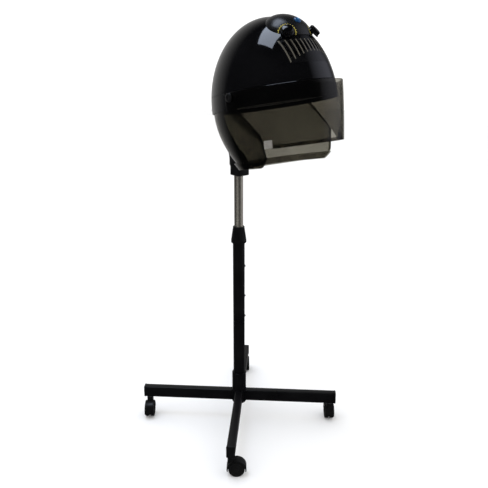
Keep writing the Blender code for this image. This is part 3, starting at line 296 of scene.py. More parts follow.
def bare_object(name, shape, matrix):
    mesh = bpy.data.meshes.new(name)
    mesh.from_pydata([tuple(matrix @ Vector(point)) for point in shape[0]], [], shape[1])
    tidy_mesh(mesh)
    obj = bpy.data.objects.new(name, mesh)
    bpy.context.scene.collection.objects.link(obj)
    return obj


def reshape(obj, kind, **settings):
    """Puts one modifier on the object and turns the result into plain faces."""
    modifier = obj.modifiers.new("reshape", kind)
    for name, value in settings.items():
        setattr(modifier, name, value)
    bpy.context.view_layer.update()
    graph = bpy.context.evaluated_depsgraph_get()
    mesh = bpy.data.meshes.new_from_object(obj.evaluated_get(graph))
    obj.modifiers.clear()
    obj.data = mesh
    tidy_mesh(mesh)


def carve(obj, shape, matrix, operation="DIFFERENCE"):
    tool = bare_object("carving_tool", shape, matrix)
    reshape(obj, "BOOLEAN", operation=operation, solver="EXACT", object=tool)
    bpy.data.objects.remove(tool)


def soften(obj, width, segments=2):
    """Rounds the crisp edges a little, so that they catch the light."""
    reshape(obj, "BEVEL", width=width, segments=segments, angle_limit=SOFT_ANGLE, use_clamp_overlap=True)


def thicken(obj, wall):
    reshape(obj, "SOLIDIFY", thickness=wall, offset=-1, use_even_offset=True)


def walled(wall, edge, segments=2):
    """Work that makes an open sheet a wall with rounded edges."""
    def work(obj):
        thicken(obj, wall)
        soften(obj, edge, segments)

    return work


def piece(name, shape, look, body, matrix=Matrix.Identity(4), stands_for=(), made=None):
    """A finished piece: its mesh, its look, the body it moves with and the part's nodes it stands for."""
    obj = bare_object(name, shape, matrix)
    if made:
        made(obj)
    obj.data.materials.clear()
    obj.data.materials.append(LOOKS[look])
    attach(obj, body)
    if stands_for:
        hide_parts(*stands_for)
    return obj


# Materials

LOOKS = {}
NOISE_LOW = 0.3  # range that a noise mostly stays in
NOISE_HIGH = 0.7
CHROME_TINT = (1.0, 0.93, 0.80)
# Painted reflections on the chrome: share of a half turn, and painted brightness there
CHROME_PAINTED_REFLECTIONS = (
    (0.0, 0.34), (0.18, 0.34), (0.29, 0.20), (0.38, 0.84), (0.46, 0.90),
    (0.53, 0.22), (0.61, 0.46), (0.69, 0.80), (0.79, 0.95), (1.0, 0.95),
)
PAINTED_REFLECTION_START = 1.2277  # half turns from +X at which the painted reflection streaks start
RIB_HIGHLIGHT_CREST = 0.72  # of the ribs' wave, above which a rib gets a painted highlight
# colour of the painted highlight along the grille's ribs
RIB_HIGHLIGHT_COLOR = (0.075, 0.069, 0.055)
LENS_EDGE_GLOW = 0.02
SHEET_NOISE = 6
SHEET_ROUGHNESS = (0.03, 0.07)
SHEET_MIRROR = (0.035, 0.9)  # mirrored share looking straight on and along the sheet
SLANT_POWER = 5.0  # higher keeps the mirror nearer to the sheet's edges


def put(node, **values):
    """Sets a shader node's inputs, named with _ for each space."""
    for name, value in values.items():
        node.inputs[name.replace("_", " ")].default_value = value


def add(tree, kind, **values):
    node = tree.nodes.new("ShaderNode" + kind)
    put(node, **values)
    return node


def noise_nodes(tree, scale, detail=4.0):
    place, noise = add(tree, "TexCoord"), add(tree, "TexNoise", Scale=scale, Detail=detail)
    tree.links.new(place.outputs["Object"], noise.inputs["Vector"])
    return noise.outputs["Fac"]


def ramp(tree, value, stops):
    node = add(tree, "ValToRGB")
    first, last = node.color_ramp.elements
    first.position, last.position = stops[0][0], stops[-1][0]
    first.color, last.color = (*stops[0][1], 1), (*stops[-1][1], 1)
    for position, color in stops[1:-1]:
        node.color_ramp.elements.new(position).color = (*color, 1)
    tree.links.new(value, node.inputs["Fac"])
    return node.outputs["Color"]


def remap(tree, value, low, high, to_low, to_high):
    """A value carried from one range to another, and held at its ends."""
    node = add(tree, "MapRange", From_Min=low, From_Max=high, To_Min=to_low, To_Max=to_high)
    tree.links.new(value, node.inputs["Value"])
    return node.outputs["Result"]


def wander_color(tree, noise, colors):
    return ramp(tree, noise, [(NOISE_LOW, colors[0]), (NOISE_HIGH, colors[1])])


def math_node(tree, operation, *values):
    node = add(tree, "Math")
    node.operation = operation
    for socket, value in zip(node.inputs, values):
        if isinstance(value, float):
            socket.default_value = value
        else:
            tree.links.new(value, socket)
    return node.outputs["Value"]


def blank_look(name):
    """Starts a look under its name and gives the tree of its nodes."""
    LOOKS[name] = bpy.data.materials.new(name)
    LOOKS[name].use_nodes = True
    return LOOKS[name].node_tree


def new_look(name, colors, roughness, scale, grain=None, **sockets):
    """Principled look whose colour and roughness wander with a noise, with an optional fine grain."""
    tree = blank_look(name)
    link = tree.links.new
    shader = tree.nodes["Principled BSDF"]
    wander = noise_nodes(tree, scale)
    link(wander_color(tree, wander, colors), shader.inputs["Base Color"])
    rough = remap(tree, wander, NOISE_LOW, NOISE_HIGH, *roughness)
    link(rough, shader.inputs["Roughness"])
    if grain:
        fineness, strength, depth = grain
        bump = add(tree, "Bump", Strength=strength, Distance=depth)
        link(noise_nodes(tree, fineness, detail=2.0), bump.inputs["Height"])
        link(bump.outputs["Normal"], shader.inputs["Normal"])
    put(shader, **sockets)


def new_clear_look(name, tints):
    """Smoked see-through sheet: tinted straight through, with a polished surface over it."""
    tree = blank_look(name)
    link = tree.links.new
    gloss, clear = tree.nodes["Principled BSDF"], add(tree, "BsdfTransparent")
    slant, mix = add(tree, "LayerWeight", Blend=0.5), add(tree, "MixShader")
    wander = noise_nodes(tree, SHEET_NOISE, detail=2.0)
    rough = remap(tree, wander, NOISE_LOW, NOISE_HIGH, *SHEET_ROUGHNESS)
    link(wander_color(tree, wander, tints), clear.inputs["Color"])
    link(rough, gloss.inputs["Roughness"])
    put(gloss, Base_Color=(1, 1, 1, 1), Metallic=1.0)
    steep = math_node(tree, "POWER", slant.outputs["Facing"], SLANT_POWER)
    link(remap(tree, steep, 0, 1, *SHEET_MIRROR), mix.inputs["Fac"])
    link(clear.outputs["BSDF"], mix.inputs[1])
    link(gloss.outputs["BSDF"], mix.inputs[2])
    link(mix.outputs["Shader"], tree.nodes["Material Output"].inputs["Surface"])


def coordinates(tree, local):
    """X, Y and Z in a piece's own frame."""
    place, split = add(tree, "TexCoord"), add(tree, "SeparateXYZ")
    mapping = add(tree, "Mapping", Location=local.translation, Rotation=local.to_euler())
    mapping.vector_type = "TEXTURE"
    tree.links.new(place.outputs["Object"], mapping.inputs["Vector"])
    tree.links.new(mapping.outputs["Vector"], split.inputs["Vector"])
    return [split.outputs[axis] for axis in "XYZ"]


def distance_from_axis(tree, x, y):
    squares = [math_node(tree, "MULTIPLY", value, value) for value in (x, y)]
    return math_node(tree, "SQRT", math_node(tree, "ADD", *squares))


def paint_reflection_streaks(look):
    """Paints light and dark reflection streaks into the pole's colour, the same on both halves of its round.
    """
    tree = look.node_tree
    work = partial(math_node, tree)
    x, y, _ = coordinates(tree, COLUMN)
    half_turns = work("DIVIDE", work("ARCTAN2", y, x), math.pi)
    place = work("FRACT", work("ADD", half_turns, PAINTED_REFLECTION_START))
    stops = [(stop, tuple(shade * share for share in CHROME_TINT)) for stop, shade in CHROME_PAINTED_REFLECTIONS]
    tree.links.new(ramp(tree, place, stops), tree.nodes["Principled BSDF"].inputs["Base Color"])


def print_and_highlight_over(look, shown, color):
    """Lays a colour over a look wherever the mask is on, for printed marks and for painted highlights."""
    tree = look.node_tree
    under = tree.nodes["Principled BSDF"].inputs["Base Color"]
    overlay_mix = add(tree, "Mix")
    overlay_mix.data_type = "RGBA"
    tree.links.new(shown, overlay_mix.inputs[0])
    tree.links.new(under.links[0].from_socket, overlay_mix.inputs[6])
    overlay_mix.inputs[7].default_value = (*color, 1)
    tree.links.new(overlay_mix.outputs[2], under)


def paint_rib_highlights(look):
    """Painted highlights along the crests of the ribs between the grille's slots, down to the arch under
    them.
    """
    work = partial(math_node, look.node_tree)
    x, _, z = coordinates(look.node_tree, HOOD)
    wave = work("COSINE", work("MULTIPLY", x, math.tau / GRILLE_PITCH))
    crest = work("GREATER_THAN", wave, RIB_HIGHLIGHT_CREST)
    bow = work("MULTIPLY", work("MULTIPLY", x, x), GRILLE_ARCH / GRILLE_HALF_WIDTH**2)
    above = work("GREATER_THAN", z, work("SUBTRACT", GRILLE_LOW + GRILLE_ARCH, bow))
    print_and_highlight_over(look, work("MULTIPLY", crest, above), RIB_HIGHLIGHT_COLOR)


def light_centre(look, local, radius, strength):
    """Lamp behind a lens: brightest on its axis."""
    tree = look.node_tree
    x, y, _ = coordinates(tree, local)
    fade = remap(tree, distance_from_axis(tree, x, y), 0, radius, strength, LENS_EDGE_GLOW)
    tree.links.new(fade, tree.nodes["Principled BSDF"].inputs["Emission Strength"])


new_look("satin_black_paint", ((0.0016, 0.0015, 0.0019), (0.0032, 0.0030, 0.0036)), (0.26, 0.36), 14,
         (900, 0.2, 0.0002), Specular_IOR_Level=0.35)
new_look("black_plastic", ((0.0020, 0.0020, 0.0022), (0.0040, 0.0040, 0.0042)), (0.32, 0.46), 22,
         (1400, 0.25, 0.0002), Specular_IOR_Level=0.4)
new_look("gloss_black_plastic", ((0.0010, 0.0010, 0.0012), (0.0022, 0.0022, 0.0026)), (0.05, 0.10), 9,
         (260, 0.02, 0.0002), Coat_Weight=0.3, Coat_Roughness=0.04)
new_look("wheel_tread", ((0.0030, 0.0030, 0.0030), (0.0060, 0.0058, 0.0055)), (0.45, 0.62), 40,
         (1100, 0.3, 0.0003))
new_look("chrome", ((0.40, 0.37, 0.31), (0.72, 0.69, 0.62)), (0.08, 0.16), 8,
         (300, 0.02, 0.0001), Metallic=0.85)
new_look("steel", ((0.36, 0.36, 0.36), (0.50, 0.50, 0.49)), (0.25, 0.38), 30,
         (400, 0.1, 0.0002), Metallic=1.0)
new_look("gloss_grille", ((0.0016, 0.0016, 0.0018), (0.0030, 0.0030, 0.0034)), (0.12, 0.20), 18,
         (700, 0.05, 0.0002))
new_look("printed_pod", ((0.0022, 0.0023, 0.0026), (0.0042, 0.0043, 0.0046)), (0.22, 0.32), 26,
         (1400, 0.15, 0.0002))
new_look("grey_plastic", ((0.08, 0.08, 0.08), (0.12, 0.12, 0.12)), (0.42, 0.55), 25, (900, 0.2, 0.0002))
new_look("pale_grey_pad", ((0.16, 0.15, 0.13), (0.22, 0.21, 0.19)), (0.5, 0.65), 60, (900, 0.3, 0.0003))
new_look("blue_lens", ((0.004, 0.02, 0.07), (0.008, 0.05, 0.13)), (0.06, 0.12), 120,
         Emission_Color=(0.16, 0.42, 0.72, 1), Coat_Weight=0.5)
new_look("pale_floor", ((0.88, 0.88, 0.88), (0.90, 0.90, 0.90)), (0.85, 0.95), 0.4)
new_clear_look("smoked_clear_plastic", ((0.475, 0.463, 0.428), (0.53, 0.517, 0.478)))
new_clear_look("smoked_skirt", ((0.355, 0.345, 0.31), (0.405, 0.395, 0.355)))
new_clear_look("smoked_rim", ((0.47, 0.46, 0.43), (0.51, 0.50, 0.47)))
# the pole's chrome gets painted reflection streaks in its colour
paint_reflection_streaks(LOOKS["chrome"])
# the grille's ribs get painted highlights in their colour
paint_rib_highlights(LOOKS["gloss_grille"])


# Base

LEG_MIDDLE = LEG_BOTTOM + LEG_HEIGHT / 2
LEG_TUBE_END = LEG_REACH - CAP_LIP - GAP
# Back from the cap's end, and inset there as a share of CAP_GROW
CAP_ROUNDING = ((0.0022, -1.0), (0.0011, -0.4), (0.0003, 0.8), (0.0, 2.2))
HUB_EDGE = 0.0016
HUB_FLOOR = 0.008
WELD_RADIUS = 0.0017
WELD_RIPPLE = 0.12  # of the bead's radius
WELD_OFF = 0.4  # of the bead's radius, its middle off the hub's face


def leg_ring(reach, inset=0.0, cope=False):
    """Section of a leg, at one reach or shaped to the round of the hub."""
    ring = []
    for u, v in rounded_rectangle(LEG_WIDTH / 2 - inset, LEG_HEIGHT / 2 - inset, LEG_CORNER):
        start = math.sqrt((HUB_RADIUS + GAP) ** 2 - u * u) if cope else reach
        ring.append((start, u, LEG_MIDDLE + v))
    return ring


def weld_bead():
    """Rounded bead where the leg's end meets the hub."""
    section = rounded_rectangle(LEG_WIDTH / 2, LEG_HEIGHT / 2, LEG_CORNER)
    rings = []
    for i, (u, v) in enumerate(section):
        way = Vector(section[(i + 1) % len(section)]) - Vector(section[i - 1])
        out = Vector((0, way.y, -way.x)).normalized()
        along = Vector((1, 0, 0))
        middle = Vector((math.sqrt(HUB_RADIUS**2 - u * u) + WELD_OFF * WELD_RADIUS, u, LEG_MIDDLE + v))
        radius = WELD_RADIUS * (1 + WELD_RIPPLE * math.sin(9 * i))
        turn = between(0, math.tau, 8)[:-1]
        rings.append([middle + (out * math.cos(a) + along * math.sin(a)) * radius for a in turn])
    return loft(rings, loop=True)


def build_base():
    bore, floor = COLUMN_RADIUS + GAP, HUB_BOTTOM + HUB_FLOOR
    profile = [
        (0, floor), (bore, floor, 0), (bore, HUB_TOP),
        (HUB_RADIUS, HUB_TOP), (HUB_RADIUS, HUB_BOTTOM), (0, HUB_BOTTOM),
    ]
    piece("hub_body", lathe(fillet(profile, HUB_EDGE)), "satin_black_paint", "base", COLUMN, ["base_hub"])
    lip = [(LEG_TUBE_END + GAP, -CAP_GROW)]
    lip += [(LEG_REACH - back, share * CAP_GROW) for back, share in CAP_ROUNDING]
    for name, bearing in LEG_BEARINGS.items():
        turn = COLUMN @ Matrix.Rotation(math.radians(bearing), 4, "Z")
        tube = loft([leg_ring(0, cope=True), leg_ring(LEG_TUBE_END)])
        piece(f"leg_tube_{name}", tube, "satin_black_paint", "base", turn, [f"leg_{name}"])
        piece(f"leg_weld_{name}", weld_bead(), "satin_black_paint", "base", turn)
        cap = loft([leg_ring(reach, inset) for reach, inset in lip])
        piece(f"leg_end_{name}", cap, "black_plastic", "base", turn, [f"leg_cap_{name}"])


# Castors

AXLE_BORE = 0.0034
FENDER_PLAY = 0.0006  # beside and over the wheels
STEM_RADIUS = 0.004
STEM_BOTTOM = 0.055
STEM_FLANGE = 0.003
STEM_FLANGE_RADIUS = 0.011
STEM_NECK = 0.0045  # radius under the flange
HEAD_TOP = LEG_BOTTOM - STEM_FLANGE - 2 * GAP
HEAD_RADIUS = 0.0105  # at its top, a little more lower down
HEAD_LOW_RADIUS = 0.0115
HEAD_SIDE_BOTTOM = 0.040
HEAD_BOTTOM = 0.036
# Half of a wheel from its middle outwards: radius and distance from the castor's middle
WHEEL_CAP = [(0, 0.0137), (0.0042, 0.0137), (0.0052, 0.0143), (0.0062, 0.0137), (0.0072, 0.0122)]
WHEEL_DISH = [(0.0165, 0.0118), (0.0178, 0.0128), (0.0186, 0.0150)]
WHEEL_RIM = [(0.0200, WHEEL_OUTER), (0.0228, WHEEL_OUTER), (0.0242, 0.0146)]
WHEEL_TREAD = [(WHEEL_RADIUS, 0.0128), (WHEEL_RADIUS, 0.0060), (0.0240, 0.0042), (0.0225, WHEEL_INNER)]
AXLE_RADIUS = 0.0030


def fender(dip):
    """Twin-wheel castor hood: an arch over both wheels with a middle web, down past the axle by an angle."""
    web, wall, brow = WHEEL_INNER - FENDER_PLAY, CASTOR_HOOD_INSIDE, CASTOR_HOOD_RADIUS
    half = [
        (AXLE_BORE, web), (wall - 0.002, web), (wall, web + 0.002), (wall, WHEEL_OUTER - FENDER_PLAY),
        (wall + FENDER_PLAY, WHEEL_OUTER), (brow - 0.0014, WHEEL_OUTER),
        (brow - 0.0004, WHEEL_OUTER - 0.0008), (brow, WHEEL_OUTER - 0.0022),
    ]
    section = half + [(r, -w) for r, w in reversed(half)]
    rings = []
    for angle in between(-dip, math.pi + dip, 44):
        rings.append([(r * math.cos(angle), w, r * math.sin(angle)) for r, w in section])
    return loft(rings)


def build_castor(name, bearing, heading):
    where = (CASTOR_REACH * math.cos(bearing), CASTOR_REACH * math.sin(bearing), 0)
    swivel = COLUMN @ Matrix.Translation(where) @ Matrix.Rotation(heading, 4, "Z")
    to_axle = Matrix.Translation((CASTOR_TRAIL, 0, WHEEL_CENTRE))
    build_stem(name, swivel)
    dip = math.asin((WHEEL_CENTRE - CASTOR_HOOD_LOW) / CASTOR_HOOD_RADIUS)
    head = [(0, HEAD_TOP), (HEAD_RADIUS, HEAD_TOP), (HEAD_LOW_RADIUS, HEAD_SIDE_BOTTOM), (0, HEAD_BOTTOM)]

    def add_head(obj):
        carve(obj, lathe(fillet(head, 0.0014), 40), swivel, "UNION")
        carve(obj, rod(STEM_RADIUS + GAP, LEG_BOTTOM, STEM_BOTTOM - 0.003), swivel)

    piece(f"castor_hood_{name}", moved(fender(dip), to_axle), "black_plastic", f"castor_{name}", swivel,
          [f"castor_{name}_body"], add_head)
    build_wheels(name, swivel @ to_axle)


def build_stem(name, swivel):
    top = LEG_BOTTOM - GAP
    low = top - STEM_FLANGE
    profile = [
        (0, top), (STEM_FLANGE_RADIUS, top), (STEM_FLANGE_RADIUS, low), (STEM_NECK, low),
        (STEM_RADIUS, STEM_BOTTOM, 0), (0, STEM_BOTTOM),
    ]
    piece(f"castor_collar_{name}", lathe(fillet(profile, 0.0008), 40), "steel", "base", swivel,
          [f"castor_{name}_stem"])


def build_wheels(name, axle):
    side = WHEEL_CAP + WHEEL_DISH + WHEEL_RIM + WHEEL_TREAD + [(AXLE_RADIUS, WHEEL_INNER)]
    profile = side + [(r, -w) for r, w in reversed(side)]
    to_floor = Matrix.Diagonal((WHEEL_CENTRE / WHEEL_RADIUS, WHEEL_CENTRE / WHEEL_RADIUS, 1, 1))
    piece(f"castor_tyres_{name}", moved(lathe(profile, 56), to_floor), "wheel_tread", f"wheels_{name}",
          axle @ Matrix.Rotation(math.pi / 2, 4, "X"), [f"castor_{name}_wheels"])


# Column, collar and pole

TUBE_WALL = 0.0015
TUBE_EDGE = 0.0005
RIVET_HEAD = [
    (0, 0.0025), (0.0018, 0.0024), (0.0033, 0.0018), (0.0042, 0.0008), (0.0045, 0), (0.0015, 0), (0, -0.0008),
]
SCREW_HEIGHT = 0.1405
SCREW_HEAD = [
    (0, 0.0016), (0.0014, 0.0016, 0.0002), (0.0018, 0.003), (0.0036, 0.0028), (0.0045, 0.0), (0, 0.0),
]
COLLAR_SHOULDER = COLLAR_BOTTOM + 0.007
COLLAR_BROW = COLLAR_TOP - 0.004  # where its taper starts
COLLAR_TAPER = 0.0405
COLLAR_FLUTES = 24
COLLAR_FLUTE_DEPTH = 0.0009
POLE_STEPS = 40


def on_side(radius, height, bearing):
    """Frame on the side of the column or hub, facing straight out at a bearing."""
    turn = Matrix.Rotation(bearing, 4, "Z") @ CROSSWISE
    return COLUMN @ Matrix.Translation((0, 0, height)) @ turn @ Matrix.Translation((0, 0, radius + GAP))


def build_column():
    bore = COLUMN_RADIUS - TUBE_WALL
    tube = [
        (COLUMN_RADIUS, COLUMN_TOP), (COLUMN_RADIUS, COLUMN_BOTTOM),
        (bore, COLUMN_BOTTOM), (bore, COLUMN_TOP),
    ]
    piece("column_sleeve", lathe(fillet(tube, TUBE_EDGE, loop=True), 72, True), "satin_black_paint", "base",
          COLUMN, ["column_tube"])
    for number, height in enumerate(RIVET_HEIGHTS, 1):
        place = on_side(COLUMN_RADIUS, height, math.radians(RIVET_BEARING))
        piece(f"rivet_head_{number}", lathe(RIVET_HEAD, 32), "satin_black_paint", "base", place,
              [f"column_rivet_{number}"])
    place = on_side(HUB_RADIUS, SCREW_HEIGHT, math.pi / 2)
    piece("hub_screw_head", lathe(fillet(SCREW_HEAD, 0.0005), 32), "steel", "base", place, ["hub_screw"])


def build_collar():
    clear, pole_clear = COLUMN_RADIUS + GAP, POLE_RADIUS + GAP
    room = pole_clear + COLLET_ROOM
    top = [(pole_clear, COLLAR_TOP, 0.0004), (COLLAR_NECK, COLLAR_TOP, 0.0016)]
    flare = COLLAR_BASE - COLLAR_NECK
    wall = [(COLLAR_NECK + flare * t, COLLAR_BROW - COLLAR_TAPER * t, 0.0) for t in between(0, 1, 16)]
    lip = [
        (COLLAR_BASE, COLLAR_SHOULDER, 0.0012), (COLLAR_BASE, COLLAR_BOTTOM, 0.0012),
        (clear, COLLAR_BOTTOM, 0.0004),
    ]
    inside = [(clear, COLLET_BOTTOM, 0), (room, COLLET_BOTTOM, 0)]
    inside += [(room, COLLET_TOP, 0), (pole_clear, COLLET_TOP, 0)]
    profile = fillet(top + wall + lip + inside, 0.0006, loop=True)
    fluted = (COLLAR_SHOULDER + 0.004, COLLAR_TOP - 0.006)
    shape = lathe(profile, 144, True, COLLAR_FLUTES, COLLAR_FLUTE_DEPTH, fluted)
    piece("lock_grip", shape, "black_plastic", "lock_collar", COLUMN, ["lock_collar"])


def build_pole():
    bore = POLE_RADIUS - TUBE_WALL
    heights = between(POLE_TOP, POLE_BOTTOM, POLE_STEPS)
    outer = [(POLE_RADIUS, z) for z in heights]
    outer[0] = (POLE_RADIUS - TUBE_EDGE, POLE_TOP)
    outer[-1] = (POLE_RADIUS - TUBE_EDGE, POLE_BOTTOM)
    shape = lathe(outer + [(bore, POLE_BOTTOM), (bore, POLE_TOP)], 72, True)
    piece("pole_sleeve", shape, "chrome", "mast", COLUMN, ["pole_tube"])


# Hood carrier

SOCKET_RIM = ((0.0, 0.0016), (0.0005, 0.0006), (0.0016, 0.0))  # above the socket's foot, and inset there
ARM_LEAVES = Vector((0, 0.012, 0.030))  # bend of the arm at the socket
ARM_ARRIVES = Vector((0, 0.004, 0.060))  # and at the hinge
GRIP_LOBES = 8
GRIP_LOBE_DEPTH = 0.0035
PIN_BORE = PIN_RADIUS + GAP
PIN_HOLE_DEPTH = 0.0103  # of the pin's hole in the tilt knob


def hinge_point():
    rise = HINGE_RISE * math.cos(HOOD_TILT) - HINGE_BACK * math.sin(HOOD_TILT)
    return Vector((0, HINGE_BEHIND, HOOD_HEIGHT + rise))


def section_ring(point, along, width, depth, corner):
    across = Vector((1, 0, 0))
    out = along.cross(across)
    return [point + across * u + out * v for u, v in rounded_rectangle(width / 2, depth / 2, corner, 5)]


def ease(t):
    t = min(max(t, 0), 1)
    return t * t * (3 - 2 * t)


def build_bracket():
    hinge, up = hinge_point(), Vector((0, 0, 1))
    rings = []
    rims = [(SOCKET_BOTTOM + rise, inset) for rise, inset in SOCKET_RIM]
    for z, inset in rims + [(z, 0) for z in between(SOCKET_BOTTOM + 0.006, POLE_TOP, 4)]:
        middle = Vector((0, -SOCKET_FORWARD, z))
        width, depth = SOCKET_WIDTH - 2 * inset, SOCKET_DEPTH - 2 * inset
        rings.append(section_ring(middle, up, width, depth, SOCKET_CORNER))
    start = Vector((0, 0, POLE_TOP + SOCKET_ROOF))
    leave, arrive = start + ARM_LEAVES, hinge - ARM_ARRIVES
    for t in between(0, 1, 30):
        s = 1 - t
        point = s**3 * start + 3 * s * s * t * leave + 3 * s * t * t * arrive + t**3 * hinge
        along = s * s * (leave - start) + 2 * s * t * (arrive - leave) + t * t * (hinge - arrive)
        width = SOCKET_WIDTH + (ARM_WIDTH - SOCKET_WIDTH) * ease(t / ARM_BLEND)
        width += (ARM_END_WIDTH - ARM_WIDTH) * ease(t / ARM_BLEND - 1)
        depth = SOCKET_DEPTH + (ARM_DEPTH - SOCKET_DEPTH) * ease(t / ARM_BLEND)
        rings.append(section_ring(point, along.normalized(), width, depth, SOCKET_CORNER))

    def work(obj):
        carve(obj, rod(SOCKET_BORE, POLE_TOP + 2 * GAP, SOCKET_BOTTOM - SOCKET_ROOF), COLUMN)
        place = COLUMN @ Matrix.Translation(hinge) @ CROSSWISE
        carve(obj, rod(KNUCKLE_RADIUS, KNUCKLE_HALF_WIDTH, -KNUCKLE_HALF_WIDTH), place, "UNION")
        carve(obj, rod(PIN_BORE, SOCKET_WIDTH, -SOCKET_WIDTH, 32), place)

    piece("bracket_arm", loft(rings), "black_plastic", "carrier", COLUMN, ["hood_bracket"], work)


def build_tilt():
    place = HOOD @ Matrix.Translation((0, HINGE_BACK, HINGE_RISE)) @ CROSSWISE
    side = LUG_HALF_WIDTH + GAP
    end = side + TILT_KNOB_WIDTH
    rim = TILT_KNOB_RADIUS
    grip = [(0, end), (0.006, end, 0.001), (0.0075, end - 0.0012, 0.0008), (rim - 0.002, end, 0.001)]
    grip += [(rim, end - 0.0024, 0.001)]
    grip += [(rim, z, 0) for z in between(end - 0.004, side + 0.002, 5)]
    hole_end = side + PIN_HOLE_DEPTH
    grip += [(rim, side), (PIN_BORE, side, 0), (PIN_BORE, hole_end, 0), (0, hole_end)]
    fluted = (side + 0.001, end - 0.003)
    shape = lathe(fillet(grip, 0.0008), 96, False, GRIP_LOBES, GRIP_LOBE_DEPTH, fluted)
    piece("tilt_grip", shape, "black_plastic", "tilt_knob", place, ["tilt_knob"])


# Hood shells

DOME_EDGE = 0.0008  # height of the dome's rounded edge
BAND_EDGE = 0.0007
LIP_ROUNDING = 0.0001  # rise of a shell's rounded edge beside its crest
GRILLE_ROUNDING = 0.0007
SLOT_REACH = (-1.3 * DOME[1], -0.3 * DOME[1])  # front and back of the tools that cut the slots
BONNET_TUCK = 0.99  # of the bonnet's own size, at the flange's inner edge
BONNET_HOLES = {14: 6, 28: 12, 41: 18, 55: 22}  # holes in each ring, by its degrees from the crown
BONNET_HOLE_RADIUS = 0.0048
FACETS = 0.995  # the flange clears the flats of the shell round it


def oval(half_x, half_y, back, height, steps=96):
    turn = between(0, math.tau, steps)[:-1]
    return [(half_x * math.cos(t), back + half_y * math.sin(t), height) for t in turn]


def shell_ring(height, inset):
    a, b, c = (size - inset for size in DOME)
    share = math.sqrt(max(1 - ((height + DOME_DROP) / c) ** 2, 0))
    return oval(a * share, b * share, DOME_BACK, height, 128)


def cap_heights(low, inset, count):
    """Heights from low to just under the crown, closer together towards the top."""
    c = DOME[2] - inset
    first = math.asin((low + DOME_DROP) / c)
    return [c * math.sin(a) - DOME_DROP for a in between(first, math.radians(89), count)]


def build_dome():
    low, wall = SEAM_HEIGHT + GAP, SHELL_WALL
    outer = [shell_ring(z, 0) for z in cap_heights(low + DOME_EDGE, 0, 56)]
    inner = [shell_ring(z, wall) for z in cap_heights(low + DOME_EDGE, wall, 56)]
    crest = [(low + LIP_ROUNDING, 0.7), (low, 0.4), (low + 2 * LIP_ROUNDING, 0.12)]
    rim = [shell_ring(z, share * wall) for z, share in crest]
    shape = loft(list(reversed(inner)) + rim + outer)

    def work(obj):
        size = (2 * (GRILLE_HALF_WIDTH + GAP), DOME[1], GRILLE_HIGH - GRILLE_LOW + 2 * GAP)
        middle = (0, -0.75 * DOME[1], (GRILLE_LOW + GRILLE_HIGH) / 2)
        carve(obj, box(size, middle), HOOD)
        for side in (-1, 1):
            carve(obj, rod(KNOB_SHAFT + GAP, KNOB_HEIGHT, -KNOB_HEIGHT, 24), knob_frame(side))

    piece("dome_shell", shape, "gloss_black_plastic", "hood", HOOD, ["hood_dome"], work)


def build_band():
    top, low, wall = SEAM_HEIGHT - GAP, BAND_BOTTOM, SHELL_WALL
    heights = between(low + BAND_EDGE, top - BAND_EDGE, 16)
    outer = [shell_ring(z, 0) for z in heights]
    inner = [shell_ring(z, wall) for z in reversed(heights)]
    upper = [(top - LIP_ROUNDING, 0.15), (top, 0.45), (top - LIP_ROUNDING, 0.8)]
    lower = [(low + LIP_ROUNDING, 0.85), (low, 0.5), (low + LIP_ROUNDING, 0.15)]
    top_rim, low_rim = ([shell_ring(z, share * wall) for z, share in crest] for crest in (upper, lower))
    shape = loft(outer + top_rim + inner + low_rim, loop=True)
    piece("band_shell", shape, "gloss_black_plastic", "hood", HOOD, ["hood_band"])


def front_point(x, z, inset):
    """Point on the front of the dome, or of its inner face, in the hood's frame."""
    a, b, c = (size - inset for size in DOME)
    share = 1 - (x / a) ** 2 - ((z + DOME_DROP) / c) ** 2
    return (x, DOME_BACK - b * math.sqrt(share), z)


def slot_prism(offset, low, high, half):
    """Long rounded slot that reaches through the front of the shell."""
    plan = []
    for middle, start in ((high - half, 0), (low + half, math.pi)):
        for angle in between(start, start + math.pi, 8):
            plan.append((offset + half * math.cos(angle), middle + half * math.sin(angle)))
    return loft([[(x, y, z) for x, z in plan] for y in SLOT_REACH])


def build_grille():
    columns = between(-GRILLE_HALF_WIDTH, GRILLE_HALF_WIDTH, 60)
    rows = between(GRILLE_LOW, GRILLE_HIGH, 24)
    outline = [(x, rows[0]) for x in columns] + [(columns[-1], z) for z in rows[1:]]
    outline += [(x, rows[-1]) for x in reversed(columns[:-1])]
    outline += [(columns[0], z) for z in reversed(rows[1:-1])]
    front = grid([[front_point(x, z, 0) for x in columns] for z in rows])
    back = grid([[front_point(x, z, SHELL_WALL) for x in columns] for z in rows])
    edges = [[front_point(x, z, inset) for x, z in outline] for inset in (0, SHELL_WALL)]
    points, faces = loft(edges)
    shape = joined(front, back, (points, faces[:-2]))
    slots = []
    for number in range(GRILLE_SLOTS):
        offset = (number - (GRILLE_SLOTS - 1) / 2) * GRILLE_PITCH
        low = GRILLE_LOW + GRILLE_BORDER + GRILLE_ARCH * (1 - (offset / GRILLE_HALF_WIDTH) ** 2)
        slots.append(slot_prism(offset, low, GRILLE_HIGH - GRILLE_BORDER, GRILLE_SLOT_WIDTH / 2))

    def work(obj):
        carve(obj, joined(*slots), HOOD)
        soften(obj, GRILLE_ROUNDING)

    piece("grille_panel", shape, "gloss_grille", "hood", HOOD, ["vent_grille"], work)


def bonnet_ring(height, inset):
    a, b, c = (size - inset for size in BONNET)
    share = math.sqrt(max(1 - (height / c) ** 2, 0))
    return oval(a * share, b * share, 0, height)


def inside_shell(height, facets):
    """Half width and half depth of what fits inside the shell at one height."""
    share = math.sqrt(1 - ((height + DOME_DROP) / (DOME[2] - SHELL_WALL)) ** 2) * facets
    return (DOME[0] - SHELL_WALL) * share - GAP, (DOME[1] - SHELL_WALL) * share - GAP


